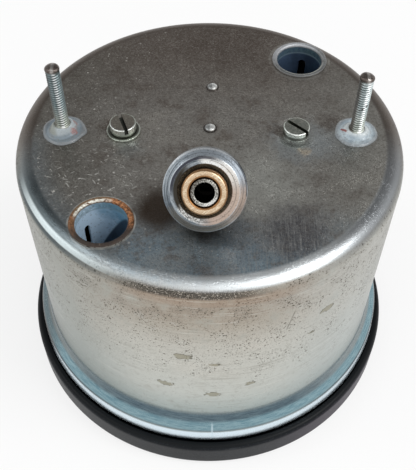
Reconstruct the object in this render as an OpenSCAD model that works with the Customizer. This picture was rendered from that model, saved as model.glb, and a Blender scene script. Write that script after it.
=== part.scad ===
// Mechanical tachometer, lying on its bezel with the dial face down.
// The rear plate faces up. The top of the dial points along +Y.
// Heights are measured from the front face of the bezel, which is z = 0.

/* [Case] */
// Diameter of the can
can_d = 115; // [96:1:140]
// Height of the rear plate's outer face above the bezel's front face
body_h = 91; // [89:1:120]
// Thickness of the can's sheet steel
sheet = 1; // [0.6:0.1:1.2]
// Outside radius of the rounded rear edge
rear_edge_r = 4.5; // [3:0.5:7]
// How far the mouth is stepped out from the can
mouth_step = 3.7; // [3:0.1:5]
// Radius of the hollow bend above the mouth
mouth_bend_in_r = 6; // [4:0.5:8]
// Radius of the shoulder bend of the mouth
mouth_bend_out_r = 2.5; // [2:0.1:3.5]
// Height of the top of the straight mouth
mouth_top = 17; // [16.5:0.5:20]
// Diameter of the pips raised on the rear plate
pip_d = 3.8; // [3:0.1:6]
// Height of the pips
pip_h = 0.8; // [0.3:0.1:1.2]
// Distance of the first pip from the can's centre
pip_first = 2.2; // [0:0.2:4]
// Distance between the two pips
pip_spacing = 18.6; // [12:0.2:24]

/* [Bezel and glass] */
// Height of the bezel
bezel_h = 11.5; // [8:0.5:14]
// Thickness of the bezel's outer wall
bezel_wall = 2.8; // [2:0.1:4]
// Thickness of the bezel's front lip
bezel_lip = 2; // [1.5:0.1:3]
// Width of the bezel's front lip inside its outer wall
lip_w = 10.4; // [8:0.2:12]
// Radius of the bezel's front outer edge
bezel_front_r = 2.2; // [1:0.1:2.4]
// Radius of the bezel's rear outer edge
bezel_rear_r = 1.6; // [0.5:0.1:2]
// Thickness of the glass
glass_t = 2; // [1.5:0.1:3]
// Thickness of the rubber gasket
gasket_t = 1; // [0.8:0.1:1.5]
// Width of the rubber gasket
gasket_w = 8; // [5:0.5:9]

/* [Dial] */
// Height of the dial's face
dial_z = 14; // [13:0.5:15]
// Thickness of the dial
dial_t = 1; // [0.6:0.1:1.5]
// Width of the light ring outside the dial
light_ring_w = 3.7; // [3:0.1:5]
// Width of the ledge that the dial seats on
dial_ledge_w = 3; // [2:0.2:4]
// Angle from the dial's top to the zero mark, either way
zero_angle = 130; // [110:5:145]
// Number of main divisions
divisions = 8; // [4:1:10]
// Number of small divisions in a main one
subdivisions = 5; // [2:1:5]
// Length of a main mark
main_mark = 7; // [4:0.5:9]
// Length of a small mark
small_mark = 4; // [2:0.5:6]
// Gap between the marks and the edge of the bezel's window
mark_margin = 3; // [1:0.5:6]
// Distance of each dial screw from the centre
dial_screw_x = 22; // [18:1:26]

/* [Pointer] */
// Width of the pointer at its hub
pointer_w = 3.6; // [2:0.2:5]
// Length of the pointer's tail
tail = 12; // [8:1:16]
// Thickness of the pointer
pointer_t = 0.8; // [0.5:0.1:1.2]
// Diameter of the pointer's cap
cap_d = 14; // [10:1:20]
// Height of the pointer's cap
cap_h = 2.4; // [1.5:0.1:3]
// Diameter of the pointer's staff
staff_d = 1.6; // [1.2:0.1:2]
// Diameter of the stop pins
stop_pin_d = 1.6; // [1:0.1:2.5]
// Distance of the stop pins from the centre
stop_pin_r = 30; // [26:1:34]

/* [Movement frame] */
// How far the front and middle plates reach past the pillars
frame_edge = 1; // [0.5:0.5:4]
// Thickness of the front plate
front_plate_t = 2; // [1.5:0.1:3]
// Gap between the dial and the front plate
dial_gap = 5; // [4:0.5:6]
// Thickness of the middle plate
middle_plate_t = 2.5; // [2:0.1:4]
// Diameter of the three pillars
pillar_d = 6; // [5:0.2:7]
// Gap between the keeper and the pillars
pillar_gap = 3; // [1:0.5:5]
// Depth of the gear housing below the rear plate
housing_h = 38; // [36:0.5:42]
// Diameter of the gear housing
housing_d = 40; // [38:1:44]
// Wall of the gear housing
housing_wall = 5; // [3:0.5:5]
// Floor of the gear housing
housing_floor = 6; // [5:0.5:7]
// Thickness of the cork gasket on the housing
cork_t = 0.5; // [0.3:0.1:1]

/* [Drag cup and magnet] */
// Diameter of the magnet
magnet_d = 31; // [26:1:33]
// Height of the magnet
magnet_h = 11; // [8:0.5:12]
// Gap all round between the magnet and the drag cup
cup_gap = 1.5; // [0.6:0.1:2]
// Wall of the drag cup
cup_wall = 0.6; // [0.4:0.1:0.8]
// Gap all round between the drag cup and the steel keeper
keeper_gap = 1.9; // [0.8:0.1:2.5]
// Wall of the keeper
keeper_wall = 1.5; // [1:0.1:2]
// Diameter of the magnet's spindle
spindle_d = 6; // [5:0.5:7]
// Number of turns of the hairspring
hairspring_turns = 5; // [3:1:6]
// Radius of the hairspring's outer turn
hairspring_r = 9; // [8:0.5:11]

/* [Bevel gears] */
// Teeth on each bevel gear
teeth = 16; // [12:1:20]
// Distance from the point where the axes cross to the large end of the teeth
cone_r = 10; // [9:0.5:11]
// Length of the teeth
tooth_len = 3.5; // [2.5:0.5:4]
// Part of the half pitch that a tooth fills
tooth_fill = 0.86; // [0.7:0.02:0.9]
// Thickness of the gear behind its teeth
gear_back = 1.5; // [1:0.1:2]
// Diameter of the gear's hub
gear_hub_d = 12; // [10:0.5:13]

/* [Cable drive] */
// Tilt of the drive from the rear plate's normal
drive_tilt = 50; // [46:1:54]
// Depth below the rear plate's outer face of the point where the gears' axes cross
gear_depth = 16.2; // [15.5:0.1:17]
// Turn of the drive and the pips from the line square to the studs' row
drive_turn = -2; // [-6:1:6]
// Gap between the rear plate and the collar's lower edge
collar_gap = 0.45; // [0.3:0.05:3]
// Diameter of the collar, which carries the cable's thread
collar_d = 21.8; // [20:0.1:22]
// Length of the collar
collar_h = 7; // [5:0.5:7.5]
// Chamfer round the collar's face
collar_chamfer = 2; // [1:0.1:2.4]
// Length of the undercut at the end of the collar's thread
undercut_l = 1; // [0.5:0.1:1.5]
// Depth of that undercut
undercut_depth = 0.6; // [0.3:0.1:1]
// Width of the recess round the bush in the collar's face
recess_w = 0.9; // [0.5:0.1:1.4]
// Depth of that recess
recess_depth = 2.5; // [1:0.5:3]
// Wall of the neck below the collar
neck_wall = 2.1; // [1:0.1:2.6]
// Outer diameter of the bronze bushes
bush_d = 11.8; // [11:0.1:12.6]
// How far the bronze bush stands out of the collar
bush_proud = 3; // [2:0.5:4]
// Length of the outer bush
outer_bush_l = 16; // [12:1:18]
// Length of the inner bush
inner_bush_l = 9; // [7:1:11]
// Diameter of the input spindle
input_d = 7.2; // [6.8:0.1:8]
// Diameter of the round hole in the input spindle
socket_d = 5.1; // [4.8:0.1:5.6]
// Depth of the round hole
socket_depth = 14; // [10:1:18]
// Width of the square hole that turns with the cable's tip
square_w = 3.2; // [2.6:0.1:3.6]
// Depth of the square hole below the round one
square_depth = 8; // [6:1:12]

/* [Lamp sleeves] */
// Inner diameter of the lamp sleeves
lamp_d = 14.3; // [12:0.1:16]
// Wall of the lamp sleeves
sleeve_wall = 0.7; // [0.5:0.1:1]
// Length of the lamp sleeves below the rear plate
sleeve_l = 20; // [10:0.5:24]
// Width of the rims round the sleeves on the rear plate
sleeve_rim_w = 1; // [0.6:0.05:2.4]
// Height of the rims
sleeve_rim_h = 0.7; // [0.4:0.1:1]
// Distance of the lamp holes' edges from the can's outside
lamp_edge = 5.35; // [5:0.05:8]
// Angle of the left sleeve, counted from +X
lamp_angle = -130; // [-136:1:-126]
// Width of the slots in the sleeves
slot_w = 2; // [1:0.1:4]
// Depth of the slots' tops below the rear plate's outer face
slot_depth = 6.5; // [4:0.5:9]
// Angle of the first slot in the left sleeve
left_slot_turn = 138; // [0:1:360]
// Angle of the first slot in the right sleeve
right_slot_turn = 74; // [0:1:360]

/* [Mounting studs] */
// Diameter of the mounting studs
stud_d = 4; // [3:0.5:5]
// How much thicker the studs' shanks are than their threads, on the radius
shank_step = 0.3; // [0.1:0.1:0.6]
// Height of the left stud above the rear plate
left_stud_h = 24; // [15:0.1:30]
// Height of the right stud above the rear plate
right_stud_h = 21.6; // [15:0.1:30]
// Distance of the row of studs and case screws behind the can's centre
row_y = 0.8; // [-1:0.1:2]
// Distance of the studs from the can's wall
stud_edge = 14.2; // [13:0.1:16]
// Diameter of the disc under each stud
disc_d = 13; // [11:0.5:15]
// Thickness of that disc
disc_t = 0.6; // [0.4:0.1:1]
// Diameter of the collar on the disc
disc_collar_d = 8; // [7:0.5:9]
// Height of that collar above the disc
disc_collar_h = 1.4; // [0.8:0.1:2]

/* [Screws] */
// Diameter of the case screws' shanks
case_screw_d = 4; // [3:0.5:4.5]
// Diameter of the case screws' heads
case_head_d = 7.8; // [6.5:0.1:8.4]
// Height of the case screws' heads
case_head_h = 2.9; // [1.5:0.1:3.5]
// Distance of each case screw from the centre
case_screw_x = 25.6; // [25:0.1:28]
// Angle of the left screw's slot
left_slot_angle = 110; // [0:1:180]
// Angle of the right screw's slot
right_slot_angle = 138; // [0:1:180]
// Outer diameter of the left screw's washer
washer_d = 10; // [9:0.5:12]
// Thickness of the washer
washer_t = 0.6; // [0.4:0.1:1]
// Diameter of the small frame screws' shanks
small_screw_d = 2.5; // [2:0.1:3]
// Diameter of the small screws' heads
small_head_d = 5; // [4.5:0.1:5.4]
// Height of the small screws' heads
small_head_h = 1.8; // [1.2:0.1:2]

/* [Clearances] */
// Radial clearance of a shaft in its bush
running_fit = 0.06; // [0.02:0.01:0.1]
// Radial clearance of fixed pieces in their holes
seat_fit = 0.05; // [0.02:0.01:0.2]
// Gap between pieces that pass each other
pass_gap = 0.4; // [0.3:0.1:0.6]

/* [Hidden] */
$fn = 96;
// How far a cutting shape runs past the face that it cuts
over = 1;
// How far two joined shapes of one piece sink into each other
sink = 0.1;
// Play of the bezel round the mouth, and of the light ring inside it
mouth_fit = 0.2;
ring_fit = 0.3;
// Play of screws in their through holes
screw_play = 0.1;

can_r = can_d / 2;
mouth_r = can_r + mouth_step;
mouth_in_r = mouth_r - sheet;
bezel_in_r = mouth_r + mouth_fit;
bezel_r = bezel_in_r + bezel_wall;
window_r = bezel_in_r - lip_w;
glass_r = bezel_in_r - seat_fit;
glass_top = bezel_lip + glass_t;
mouth_z = glass_top + gasket_t;
bend_sum = mouth_bend_in_r + mouth_bend_out_r;
bend_run = bend_sum - mouth_step;
bend_rise = sqrt(pow(bend_sum, 2) - pow(bend_run, 2));
inner_face = body_h - sheet;

ring_r = mouth_in_r - ring_fit;
dial_r = ring_r - light_ring_w - seat_fit;
ledge_r = dial_r - dial_ledge_w;
dial_back = dial_z + dial_t;
marks_r = window_r - mark_margin;
mark_t = 0.15;
main_mark_w = 1.4;
small_mark_w = 0.6;
sweep = 2 * zero_angle;
dial_hole_r = staff_d / 2 + 0.7;

pointer_lift = 2.4;
pointer_low = dial_z - pointer_lift - pointer_t;
pointer_len = marks_r - small_mark - 1;
pointer_tip_w = 1;
cap_low = pointer_low - cap_h;
cap_edge = 0.8;
staff_low = cap_low + cap_edge;
staff_seat_d = staff_d + 0.04;
staff_fit_r = staff_d / 2 + running_fit;
stop_angle = (pointer_w / 2 + stop_pin_d / 2 + pass_gap) / stop_pin_r * 180 / PI;

front_plate_z = dial_back + dial_gap;
front_plate_top = front_plate_z + front_plate_t;
housing_z = inner_face - housing_h;
middle_plate_z = housing_z - middle_plate_t;
housing_r = housing_d / 2;
cavity_r = housing_r - housing_wall;
cavity_z = housing_z + housing_floor;
housing_top = inner_face - cork_t;
lug_r = 5;
lug_h = 10;
lug_web_w = 6;
screw_angles = [90, 210, 330];
housing_screw_r = 13;
staff_bush_r = 3;
post_r = 2.8;
screw_grip = 6;
tapped_depth = 7;
tapped_d = small_screw_d + screw_play;
clear_d = small_screw_d + 2 * screw_play;
case_clear_r = case_screw_d / 2 + 0.15;

spindle_r = spindle_d / 2;
spindle_seat_r = spindle_r + 0.02;
bush_flange_t = 1.5;
bush_flange_w = 2;
magnet_bush_r = spindle_r + 2;
carrier_r = spindle_r + 2;
carrier_flange_w = 3;
keeper_web_z = middle_plate_z - keeper_wall;
carrier_top = keeper_web_z - small_head_h - pass_gap;
carrier_flange_t = 1.5;
magnet_top = carrier_top - carrier_flange_t;
magnet_z = magnet_top - magnet_h;
end_gap = 1;
cup_web_z = magnet_z - end_gap - cup_wall;
cup_r = magnet_d / 2 + cup_gap;
cup_h = magnet_h + 2 * end_gap;
spindle_low = magnet_z - end_gap / 2;
keeper_in_r = cup_r + cup_wall + keeper_gap;
keeper_r = keeper_in_r + keeper_wall;
pillar_place_r = keeper_r + pillar_gap + pillar_d / 2;
frame_r = pillar_place_r + pillar_d / 2 + frame_edge;
pivot_depth = 5;
pivot_end_gap = 1;
hairspring_w = 0.2;
hairspring_h = 1.2;
hairspring_z = front_plate_top + 3;
collet_r = staff_d / 2 + 1.1;
collet_over = 0.4;
hairspring_start = collet_r + 0.3 + hairspring_w / 2;
staff_collar_t = 1.6;
staff_collar_w = 1.7;

apex_z = body_h - gear_depth;
cone_angle = (180 - drive_tilt) / 2;
pressure_angle = 20;
module_mm = 2 * cone_r * sin(cone_angle) / teeth;
tip_angle = cone_angle + 0.9 * module_mm / cone_r * 180 / PI;
root_angle = cone_angle - 1.1 * module_mm / cone_r * 180 / PI;
cone_in = cone_r - tooth_len;
gear_back_z = cone_r * cos(root_angle) + gear_back;
crown_z = cone_in * cos(root_angle);
driven_hub_l = apex_z - gear_back_z - cavity_z - bush_flange_t - pass_gap;
input_hub_l = 4;
input_hub_end = gear_back_z + input_hub_l;

plate_s = gear_depth / cos(drive_tilt);
collar_r = collar_d / 2;
collar_s = plate_s + (collar_r * sin(drive_tilt) + collar_gap) / cos(drive_tilt);
thread_s = collar_s + undercut_l;
face_s = collar_s + collar_h;
washer_s = input_hub_end + pass_gap;
thrust_t = 1;
neck_s = washer_s + thrust_t + pass_gap;
outer_bush_end = face_s + bush_proud;
outer_bush_s = outer_bush_end - outer_bush_l;
input_sunk = 0.2;
input_end = outer_bush_end - input_sunk;
flare_depth = 1.2;
flare_w = 0.45;
input_r = input_d / 2;
bush_bore_r = input_r + running_fit;
bush_r = bush_d / 2;
neck_r = bush_r + neck_wall;
neck_play = 0.15;
sleeve_boss_r = neck_r + 3;

lamp_r = lamp_d / 2;
sleeve_r = lamp_r + sleeve_wall;
lamp_place_r = can_r - lamp_edge - lamp_r;
stud_x = can_r - stud_edge;
stud_r = stud_d / 2;
shank_r = stud_r + shank_step;
disc_top = body_h + disc_t + disc_collar_h;

// Half section of the can's outside, or of its inside when it is inset by the sheet
module can_section(inset, low) {
    wall_r = can_r - inset;
    edge_r = rear_edge_r - inset;
    top = body_h - inset;
    bend_top = mouth_top + bend_rise;
    meet = (mouth_bend_out_r - inset) / bend_sum;
    meet_z = mouth_top + meet * bend_rise;
    shoulder_x = mouth_r - mouth_bend_out_r;
    difference() {
        square_to(shoulder_x + meet * bend_run, meet_z, top - edge_r);
        translate([wall_r, bend_top]) square([mouth_r, body_h]);
        translate([can_r + mouth_bend_in_r, bend_top]) circle(mouth_bend_in_r + inset);
    }
    square_to(wall_r - edge_r, bend_top, top);
    translate([wall_r - edge_r, top - edge_r]) circle(edge_r);
    square_to(shoulder_x, low, meet_z);
    translate([shoulder_x, mouth_top]) circle(mouth_bend_out_r - inset);
    square_to(mouth_r - inset, low, mouth_top);
}

// A rectangle from the axis out to x, between two heights
module square_to(x, low, high) {
    translate([0, low]) square([x, high - low]);
}

// A tube or a ring, from its low end up
module ring(r_out, r_in, h) {
    difference() {
        cylinder(h = h, r = r_out);
        translate([0, 0, -over]) cylinder(h = h + 2 * over, r = r_in);
    }
}

// Places children on the drive's axis, with the point where the axes cross as origin
module on_drive_axis(s = 0) {
    translate([0, 0, apex_z]) rotate([drive_tilt, 0, drive_turn]) translate([0, 0, s]) children();
}

module at_lamp(side) {
    turn = side < 0 ? lamp_angle : lamp_angle + 180;
    translate([lamp_place_r * cos(turn), lamp_place_r * sin(turn), 0]) children();
}

module at_pair(x, y = 0) {
    for (side = [-1, 1]) translate([side * x, y, 0]) children();
}

module at_pillars(r) {
    for (turn = screw_angles) rotate([0, 0, turn]) translate([r, 0, 0]) children();
}

// A slotted cheese-head screw, with the underside of its head at z = 0 and its shank below
module cheese_screw(shank_d, shank_l, head_d, head_h, slot_angle) {
    slot = head_d * 0.14;
    edge = 0.3;
    difference() {
        union() {
            cylinder(h = head_h - edge, d = head_d);
            translate([0, 0, head_h - edge]) cylinder(h = edge, r1 = head_d / 2, r2 = head_d / 2 - edge);
            translate([0, 0, -shank_l]) cylinder(h = shank_l + sink, d = shank_d);
        }
        rotate([0, 0, slot_angle]) translate([-head_d, -slot / 2, head_h * 0.5])
            cube([2 * head_d, slot, head_h]);
    }
}

// The can, its holes and the two pips of its rear plate
module case() {
    color("silver") difference() {
        union() {
            rotate_extrude() difference() {
                can_section(0, mouth_z);
                can_section(sheet, mouth_z - over);
            }
            for (y = [pip_first, pip_first + pip_spacing])
                rotate([0, 0, drive_turn]) translate([0, y, body_h - sink])
                    cylinder(h = pip_h + sink, r1 = pip_d / 2, r2 = pip_d / 2 - pip_h);
        }
        for (side = [-1, 1]) at_lamp(side) translate([0, 0, inner_face - over])
            cylinder(h = sheet + 2 * over, r = sleeve_r + seat_fit);
        at_pair(stud_x, row_y) translate([0, 0, inner_face - over])
            cylinder(h = sheet + 2 * over, r = shank_r + seat_fit);
        at_pair(case_screw_x, row_y) translate([0, 0, inner_face - over])
            cylinder(h = sheet + 2 * over, r = case_clear_r);
        on_drive_axis(neck_s) cylinder(h = collar_s - neck_s, r = neck_r + neck_play);
    }
}

module bezel() {
    color("black") rotate_extrude() difference() {
        union() {
            square_to(bezel_r - bezel_front_r, 0, bezel_h);
            square_to(bezel_r, bezel_front_r, bezel_h - bezel_rear_r);
            square_to(bezel_r - bezel_rear_r, bezel_front_r, bezel_h);
            translate([bezel_r - bezel_front_r, bezel_front_r]) circle(bezel_front_r);
            translate([bezel_r - bezel_rear_r, bezel_h - bezel_rear_r]) circle(bezel_rear_r);
        }
        square_to(window_r, -over, bezel_h + over);
        square_to(bezel_in_r, bezel_lip, bezel_h + over);
    }
}

module glass() {
    color("lightcyan") translate([0, 0, bezel_lip]) cylinder(h = glass_t, r = glass_r);
}

module glass_gasket() {
    color("dimgray") translate([0, 0, glass_top]) ring(glass_r, glass_r - gasket_w, gasket_t);
}

// Clear ring that leads the lamps' light to the dial and holds the dial's edge
module light_ring() {
    stand_out = 1;
    color("whitesmoke") difference() {
        translate([0, 0, mouth_z]) ring(ring_r, ledge_r, dial_back + stand_out - mouth_z);
        translate([0, 0, dial_z]) cylinder(h = dial_t + stand_out + over, r = dial_r + seat_fit);
    }
}

module dial() {
    color("black") translate([0, 0, dial_z]) difference() {
        cylinder(h = dial_t, r = dial_r);
        translate([0, 0, -over]) cylinder(h = dial_t + 2 * over, r = dial_hole_r);
        at_pair(dial_screw_x) translate([0, 0, -over])
            cylinder(h = dial_t + 2 * over, d = clear_d);
        at_stops() translate([0, 0, -over])
            cylinder(h = dial_t + 2 * over, d = stop_pin_d + 2 * seat_fit);
    }
}

// The printed scale, as thin raised bars on the dial's face
module dial_marks() {
    steps = divisions * subdivisions;
    color("white") for (k = [0 : steps]) {
        main = k % subdivisions == 0;
        len = main ? main_mark : small_mark;
        width = main ? main_mark_w : small_mark_w;
        rotate([0, 0, sweep * k / steps - zero_angle])
            translate([-width / 2, marks_r - len, dial_z - mark_t]) cube([width, len, mark_t]);
    }
}

module dial_screws() {
    low_head_h = 1.4;
    tip_gap = 0.5;
    color("silver") at_pair(dial_screw_x) translate([0, 0, dial_z]) rotate([180, 0, 0])
        cheese_screw(small_screw_d, dial_t + dial_gap - tip_gap, small_head_d, low_head_h, 20);
}

module dial_posts() {
    color("goldenrod") at_pair(dial_screw_x) translate([0, 0, dial_back])
        ring(post_r, tapped_d / 2, dial_gap);
}

module at_stops() {
    for (turn = [-zero_angle - stop_angle, zero_angle + stop_angle])
        rotate([0, 0, turn]) translate([0, stop_pin_r, 0]) children();
}

module stop_pins() {
    low = pointer_low - 1;
    color("silver") at_stops() translate([0, 0, low]) cylinder(h = dial_back - low, d = stop_pin_d);
}

// Tapered blade with a round hub, pointing at the zero mark
module pointer() {
    hub_r = cap_d / 2 - 2;
    color("white") translate([0, 0, pointer_low]) difference() {
        rotate([0, 0, -zero_angle]) linear_extrude(pointer_t) {
            polygon([
                [-pointer_w / 2, -tail], [pointer_w / 2, -tail],
                [pointer_w / 2, stop_pin_r], [pointer_tip_w / 2, pointer_len],
                [-pointer_tip_w / 2, pointer_len],
                [-pointer_w / 2, stop_pin_r]
            ]);
            circle(hub_r);
        }
        translate([0, 0, -over]) cylinder(h = pointer_t + 2 * over, d = staff_seat_d);
    }
}

module pointer_cap() {
    color("black") translate([0, 0, cap_low]) difference() {
        union() {
            cylinder(h = cap_edge, r1 = cap_d / 2 - cap_edge, r2 = cap_d / 2);
            translate([0, 0, cap_edge]) cylinder(h = cap_h - cap_edge, d = cap_d);
        }
        translate([0, 0, cap_edge]) cylinder(h = cap_h, d = staff_seat_d);
    }
}

module pointer_staff() {
    rear_end = spindle_low + pivot_depth - pivot_end_gap;
    color("silver") {
        translate([0, 0, staff_low]) cylinder(h = rear_end - staff_low, d = staff_d);
        translate([0, 0, cup_web_z - staff_collar_t])
            cylinder(h = staff_collar_t, r = staff_d / 2 + staff_collar_w);
    }
}

// Thin aluminium cup round the magnet, carried by the pointer's staff
module drag_cup() {
    color("lightgray") translate([0, 0, cup_web_z]) difference() {
        cylinder(h = cup_h, r = cup_r + cup_wall);
        translate([0, 0, cup_wall]) cylinder(h = cup_h, r = cup_r);
        translate([0, 0, -over]) cylinder(h = 3 * over, d = staff_seat_d);
    }
}

// Outline of the flat spiral: out along one side of the strip and back along the other
function spiral_point(t, side) =
    let (r = hairspring_start + (hairspring_r - hairspring_start) * t + side * hairspring_w / 2)
    [r * cos(360 * hairspring_turns * t), r * sin(360 * hairspring_turns * t)];

module hairspring() {
    steps = hairspring_turns * 30;
    outer = [for (k = [0 : steps]) spiral_point(k / steps, 1)];
    inner = [for (k = [steps : -1 : 0]) spiral_point(k / steps, -1)];
    color("steelblue") translate([0, 0, hairspring_z]) linear_extrude(hairspring_h)
        polygon(concat(outer, inner));
}

module hairspring_collet() {
    color("goldenrod") translate([0, 0, hairspring_z - collet_over])
        ring(collet_r, staff_seat_d / 2, hairspring_h + 2 * collet_over);
}

// Flat arm on the front plate, with the block that holds the spring's outer end
module hairspring_regulator() {
    arm_w = 4;
    arm_t = 1;
    arm_ring_r = 7.5;
    block_l = 3;
    block_w = 1.5;
    block_top = hairspring_z + hairspring_h + collet_over;
    play = 0.1;
    color("goldenrod") difference() {
        union() {
            translate([0, 0, front_plate_top]) ring(arm_ring_r, staff_bush_r + block_w, arm_t);
            translate([arm_ring_r - over, -arm_w / 2, front_plate_top])
                cube([hairspring_r + block_l - arm_ring_r, arm_w, arm_t]);
            translate([hairspring_r - 1, -block_w, front_plate_top])
                cube([block_l, block_w, block_top - front_plate_top]);
        }
        translate([0, 0, hairspring_z - play])
            ring(hairspring_r + 2 * play, hairspring_r - 4 * play, hairspring_h + 2 * play);
    }
}

module front_plate() {
    window_place_r = 20;
    window_hole_r = 6;
    color("goldenrod") translate([0, 0, front_plate_z]) difference() {
        cylinder(h = front_plate_t, r = frame_r);
        translate([0, 0, -over]) cylinder(h = front_plate_t + 2 * over, r = staff_bush_r + seat_fit);
        at_pillars(pillar_place_r) translate([0, 0, -over])
            cylinder(h = front_plate_t + 2 * over, d = clear_d);
        at_pillars(-window_place_r) translate([0, 0, -over])
            cylinder(h = front_plate_t + 2 * over, r = window_hole_r);
    }
}

module staff_bush() {
    stand_out = 0.5;
    color("firebrick") translate([0, 0, front_plate_z - stand_out])
        ring(staff_bush_r, staff_fit_r, front_plate_t + 2 * stand_out);
}

module frame_pillars() {
    color("silver") at_pillars(pillar_place_r) difference() {
        translate([0, 0, front_plate_top]) cylinder(h = middle_plate_z - front_plate_top, d = pillar_d);
        translate([0, 0, front_plate_top - over]) cylinder(h = tapped_depth + over, d = tapped_d);
        translate([0, 0, middle_plate_z - tapped_depth])
            cylinder(h = tapped_depth + over, d = tapped_d);
    }
}

// Three screws into the front ends of the pillars and three into their rear ends
module frame_screws() {
    color("silver") at_pillars(pillar_place_r) {
        translate([0, 0, front_plate_z]) rotate([180, 0, 0])
            cheese_screw(small_screw_d, front_plate_t + screw_grip, small_head_d, small_head_h, 40);
        translate([0, 0, housing_z])
            cheese_screw(small_screw_d, middle_plate_t + screw_grip, small_head_d, small_head_h, 10);
    }
}

module middle_plate() {
    color("lightslategray") translate([0, 0, middle_plate_z]) difference() {
        cylinder(h = middle_plate_t, r = frame_r);
        translate([0, 0, -over]) cylinder(h = middle_plate_t + 2 * over, r = magnet_bush_r + seat_fit);
        at_pillars(pillar_place_r) translate([0, 0, -over])
            cylinder(h = middle_plate_t + 2 * over, d = clear_d);
        at_pillars(-housing_screw_r) translate([0, 0, -over])
            cylinder(h = middle_plate_t + 2 * over, d = clear_d);
    }
}

module housing_screws() {
    color("silver") at_pillars(-housing_screw_r) translate([0, 0, keeper_web_z]) rotate([180, 0, 0])
        cheese_screw(small_screw_d, keeper_wall + middle_plate_t + screw_grip - 1.5, small_head_d,
            small_head_h, 70);
}

// Steel cup that closes the magnet's field round the drag cup
module flux_keeper() {
    low = cup_web_z - end_gap / 2;
    color("slategray") difference() {
        translate([0, 0, low]) cylinder(h = middle_plate_z - low, r = keeper_r);
        translate([0, 0, low - over]) cylinder(h = keeper_web_z - low + over, r = keeper_in_r);
        translate([0, 0, keeper_web_z - over])
            cylinder(h = keeper_wall + 2 * over, r = magnet_bush_r + seat_fit);
        at_pillars(-housing_screw_r) translate([0, 0, keeper_web_z - over])
            cylinder(h = keeper_wall + 2 * over, d = clear_d);
    }
}

module magnet() {
    color("darkslategray") translate([0, 0, magnet_z]) ring(magnet_d / 2, carrier_r, magnet_h);
}

module magnet_carrier() {
    color("goldenrod") {
        translate([0, 0, spindle_low]) ring(carrier_r, spindle_seat_r, carrier_top - spindle_low);
        translate([0, 0, magnet_top])
            ring(carrier_r + carrier_flange_w, carrier_r - sink, carrier_flange_t);
    }
}

// Spindle of the magnet and its bevel gear, with the staff's rear bearing in its front end
module magnet_spindle() {
    color("silver") difference() {
        translate([0, 0, spindle_low]) cylinder(h = apex_z - crown_z - spindle_low, r = spindle_r);
        translate([0, 0, spindle_low - over])
            cylinder(h = pivot_depth + over, r = staff_fit_r);
    }
}

module magnet_bush() {
    color("peru") {
        translate([0, 0, keeper_web_z])
            ring(magnet_bush_r, spindle_r + running_fit, cavity_z - keeper_web_z + sink);
        translate([0, 0, cavity_z])
            ring(magnet_bush_r + bush_flange_w, spindle_r + running_fit, bush_flange_t);
    }
}

// A point at a distance from the crossing of the axes, an angle from the gear's axis and a turn about it
function cone_point(rho, angle, turn) =
    [rho * sin(angle) * cos(turn), rho * sin(angle) * sin(turn), rho * cos(angle)];

// Half width of a tooth as a turn about the gear's axis, at a height above its pitch cone
function half_turn(angle, lift) =
    (PI * module_mm / 4 * tooth_fill - lift * tan(pressure_angle)) / (cone_r * sin(angle)) * 180 / PI;

module bevel_tooth() {
    sunk_angle = 2;
    foot = root_angle - sunk_angle;
    foot_lift = -(cone_angle - foot) * PI / 180 * cone_r;
    tip_lift = (tip_angle - cone_angle) * PI / 180 * cone_r;
    foot_turn = half_turn(foot, foot_lift);
    tip_turn = half_turn(tip_angle, tip_lift);
    polyhedron(
        points = [for (rho = [cone_r, cone_in]) for (p = [
            [foot, -foot_turn], [tip_angle, -tip_turn], [tip_angle, tip_turn], [foot, foot_turn]
        ]) cone_point(rho, p[0], p[1])],
        faces = [[3, 2, 1, 0], [4, 5, 6, 7], [1, 5, 4, 0], [2, 6, 5, 1], [3, 7, 6, 2], [0, 4, 7, 3]]
    );
}

// A bevel gear whose axis is +Z from the crossing point of the axes, which is its origin
module bevel_gear(bore_r, hub_end, first_turn) {
    difference() {
        union() {
            rotate_extrude() polygon([
                [0, crown_z], [cone_in * sin(root_angle), crown_z],
                [cone_r * sin(root_angle), cone_r * cos(root_angle)],
                [cone_r * sin(root_angle), gear_back_z], [gear_hub_d / 2, gear_back_z],
                [gear_hub_d / 2, hub_end], [0, hub_end]
            ]);
            for (k = [0 : teeth - 1]) rotate([0, 0, first_turn + 360 * k / teeth]) bevel_tooth();
        }
        translate([0, 0, -over]) cylinder(h = hub_end + 2 * over, r = bore_r);
    }
}

module driven_bevel_gear() {
    color("goldenrod") translate([0, 0, apex_z]) rotate([180, 0, drive_turn])
        bevel_gear(spindle_seat_r, gear_back_z + driven_hub_l, 90);
}

module input_bevel_gear() {
    color("gold") on_drive_axis() bevel_gear(spindle_seat_r, input_hub_end, 270 + 180 / teeth);
}

module thrust_washer() {
    color("peru") on_drive_axis(washer_s) ring(bush_r, input_r + ring_fit, thrust_t);
}

module inner_bush() {
    color("peru") on_drive_axis(neck_s) ring(bush_r, bush_bore_r, inner_bush_l);
}

module oil_felt() {
    low = neck_s + inner_bush_l + seat_fit;
    color("saddlebrown") on_drive_axis(low)
        ring(bush_r - seat_fit, input_r + ring_fit, outer_bush_s - low - seat_fit);
}

// Bronze bush that shows in the collar's mouth, with a flared bore
module outer_bush() {
    color("peru") on_drive_axis(outer_bush_s) difference() {
        cylinder(h = outer_bush_l, r = bush_r);
        translate([0, 0, -over]) cylinder(h = outer_bush_l + 2 * over, r = bush_bore_r);
        translate([0, 0, outer_bush_l - flare_depth])
            cylinder(h = flare_depth + sink, r1 = bush_bore_r, r2 = bush_bore_r + flare_w);
    }
}

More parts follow.
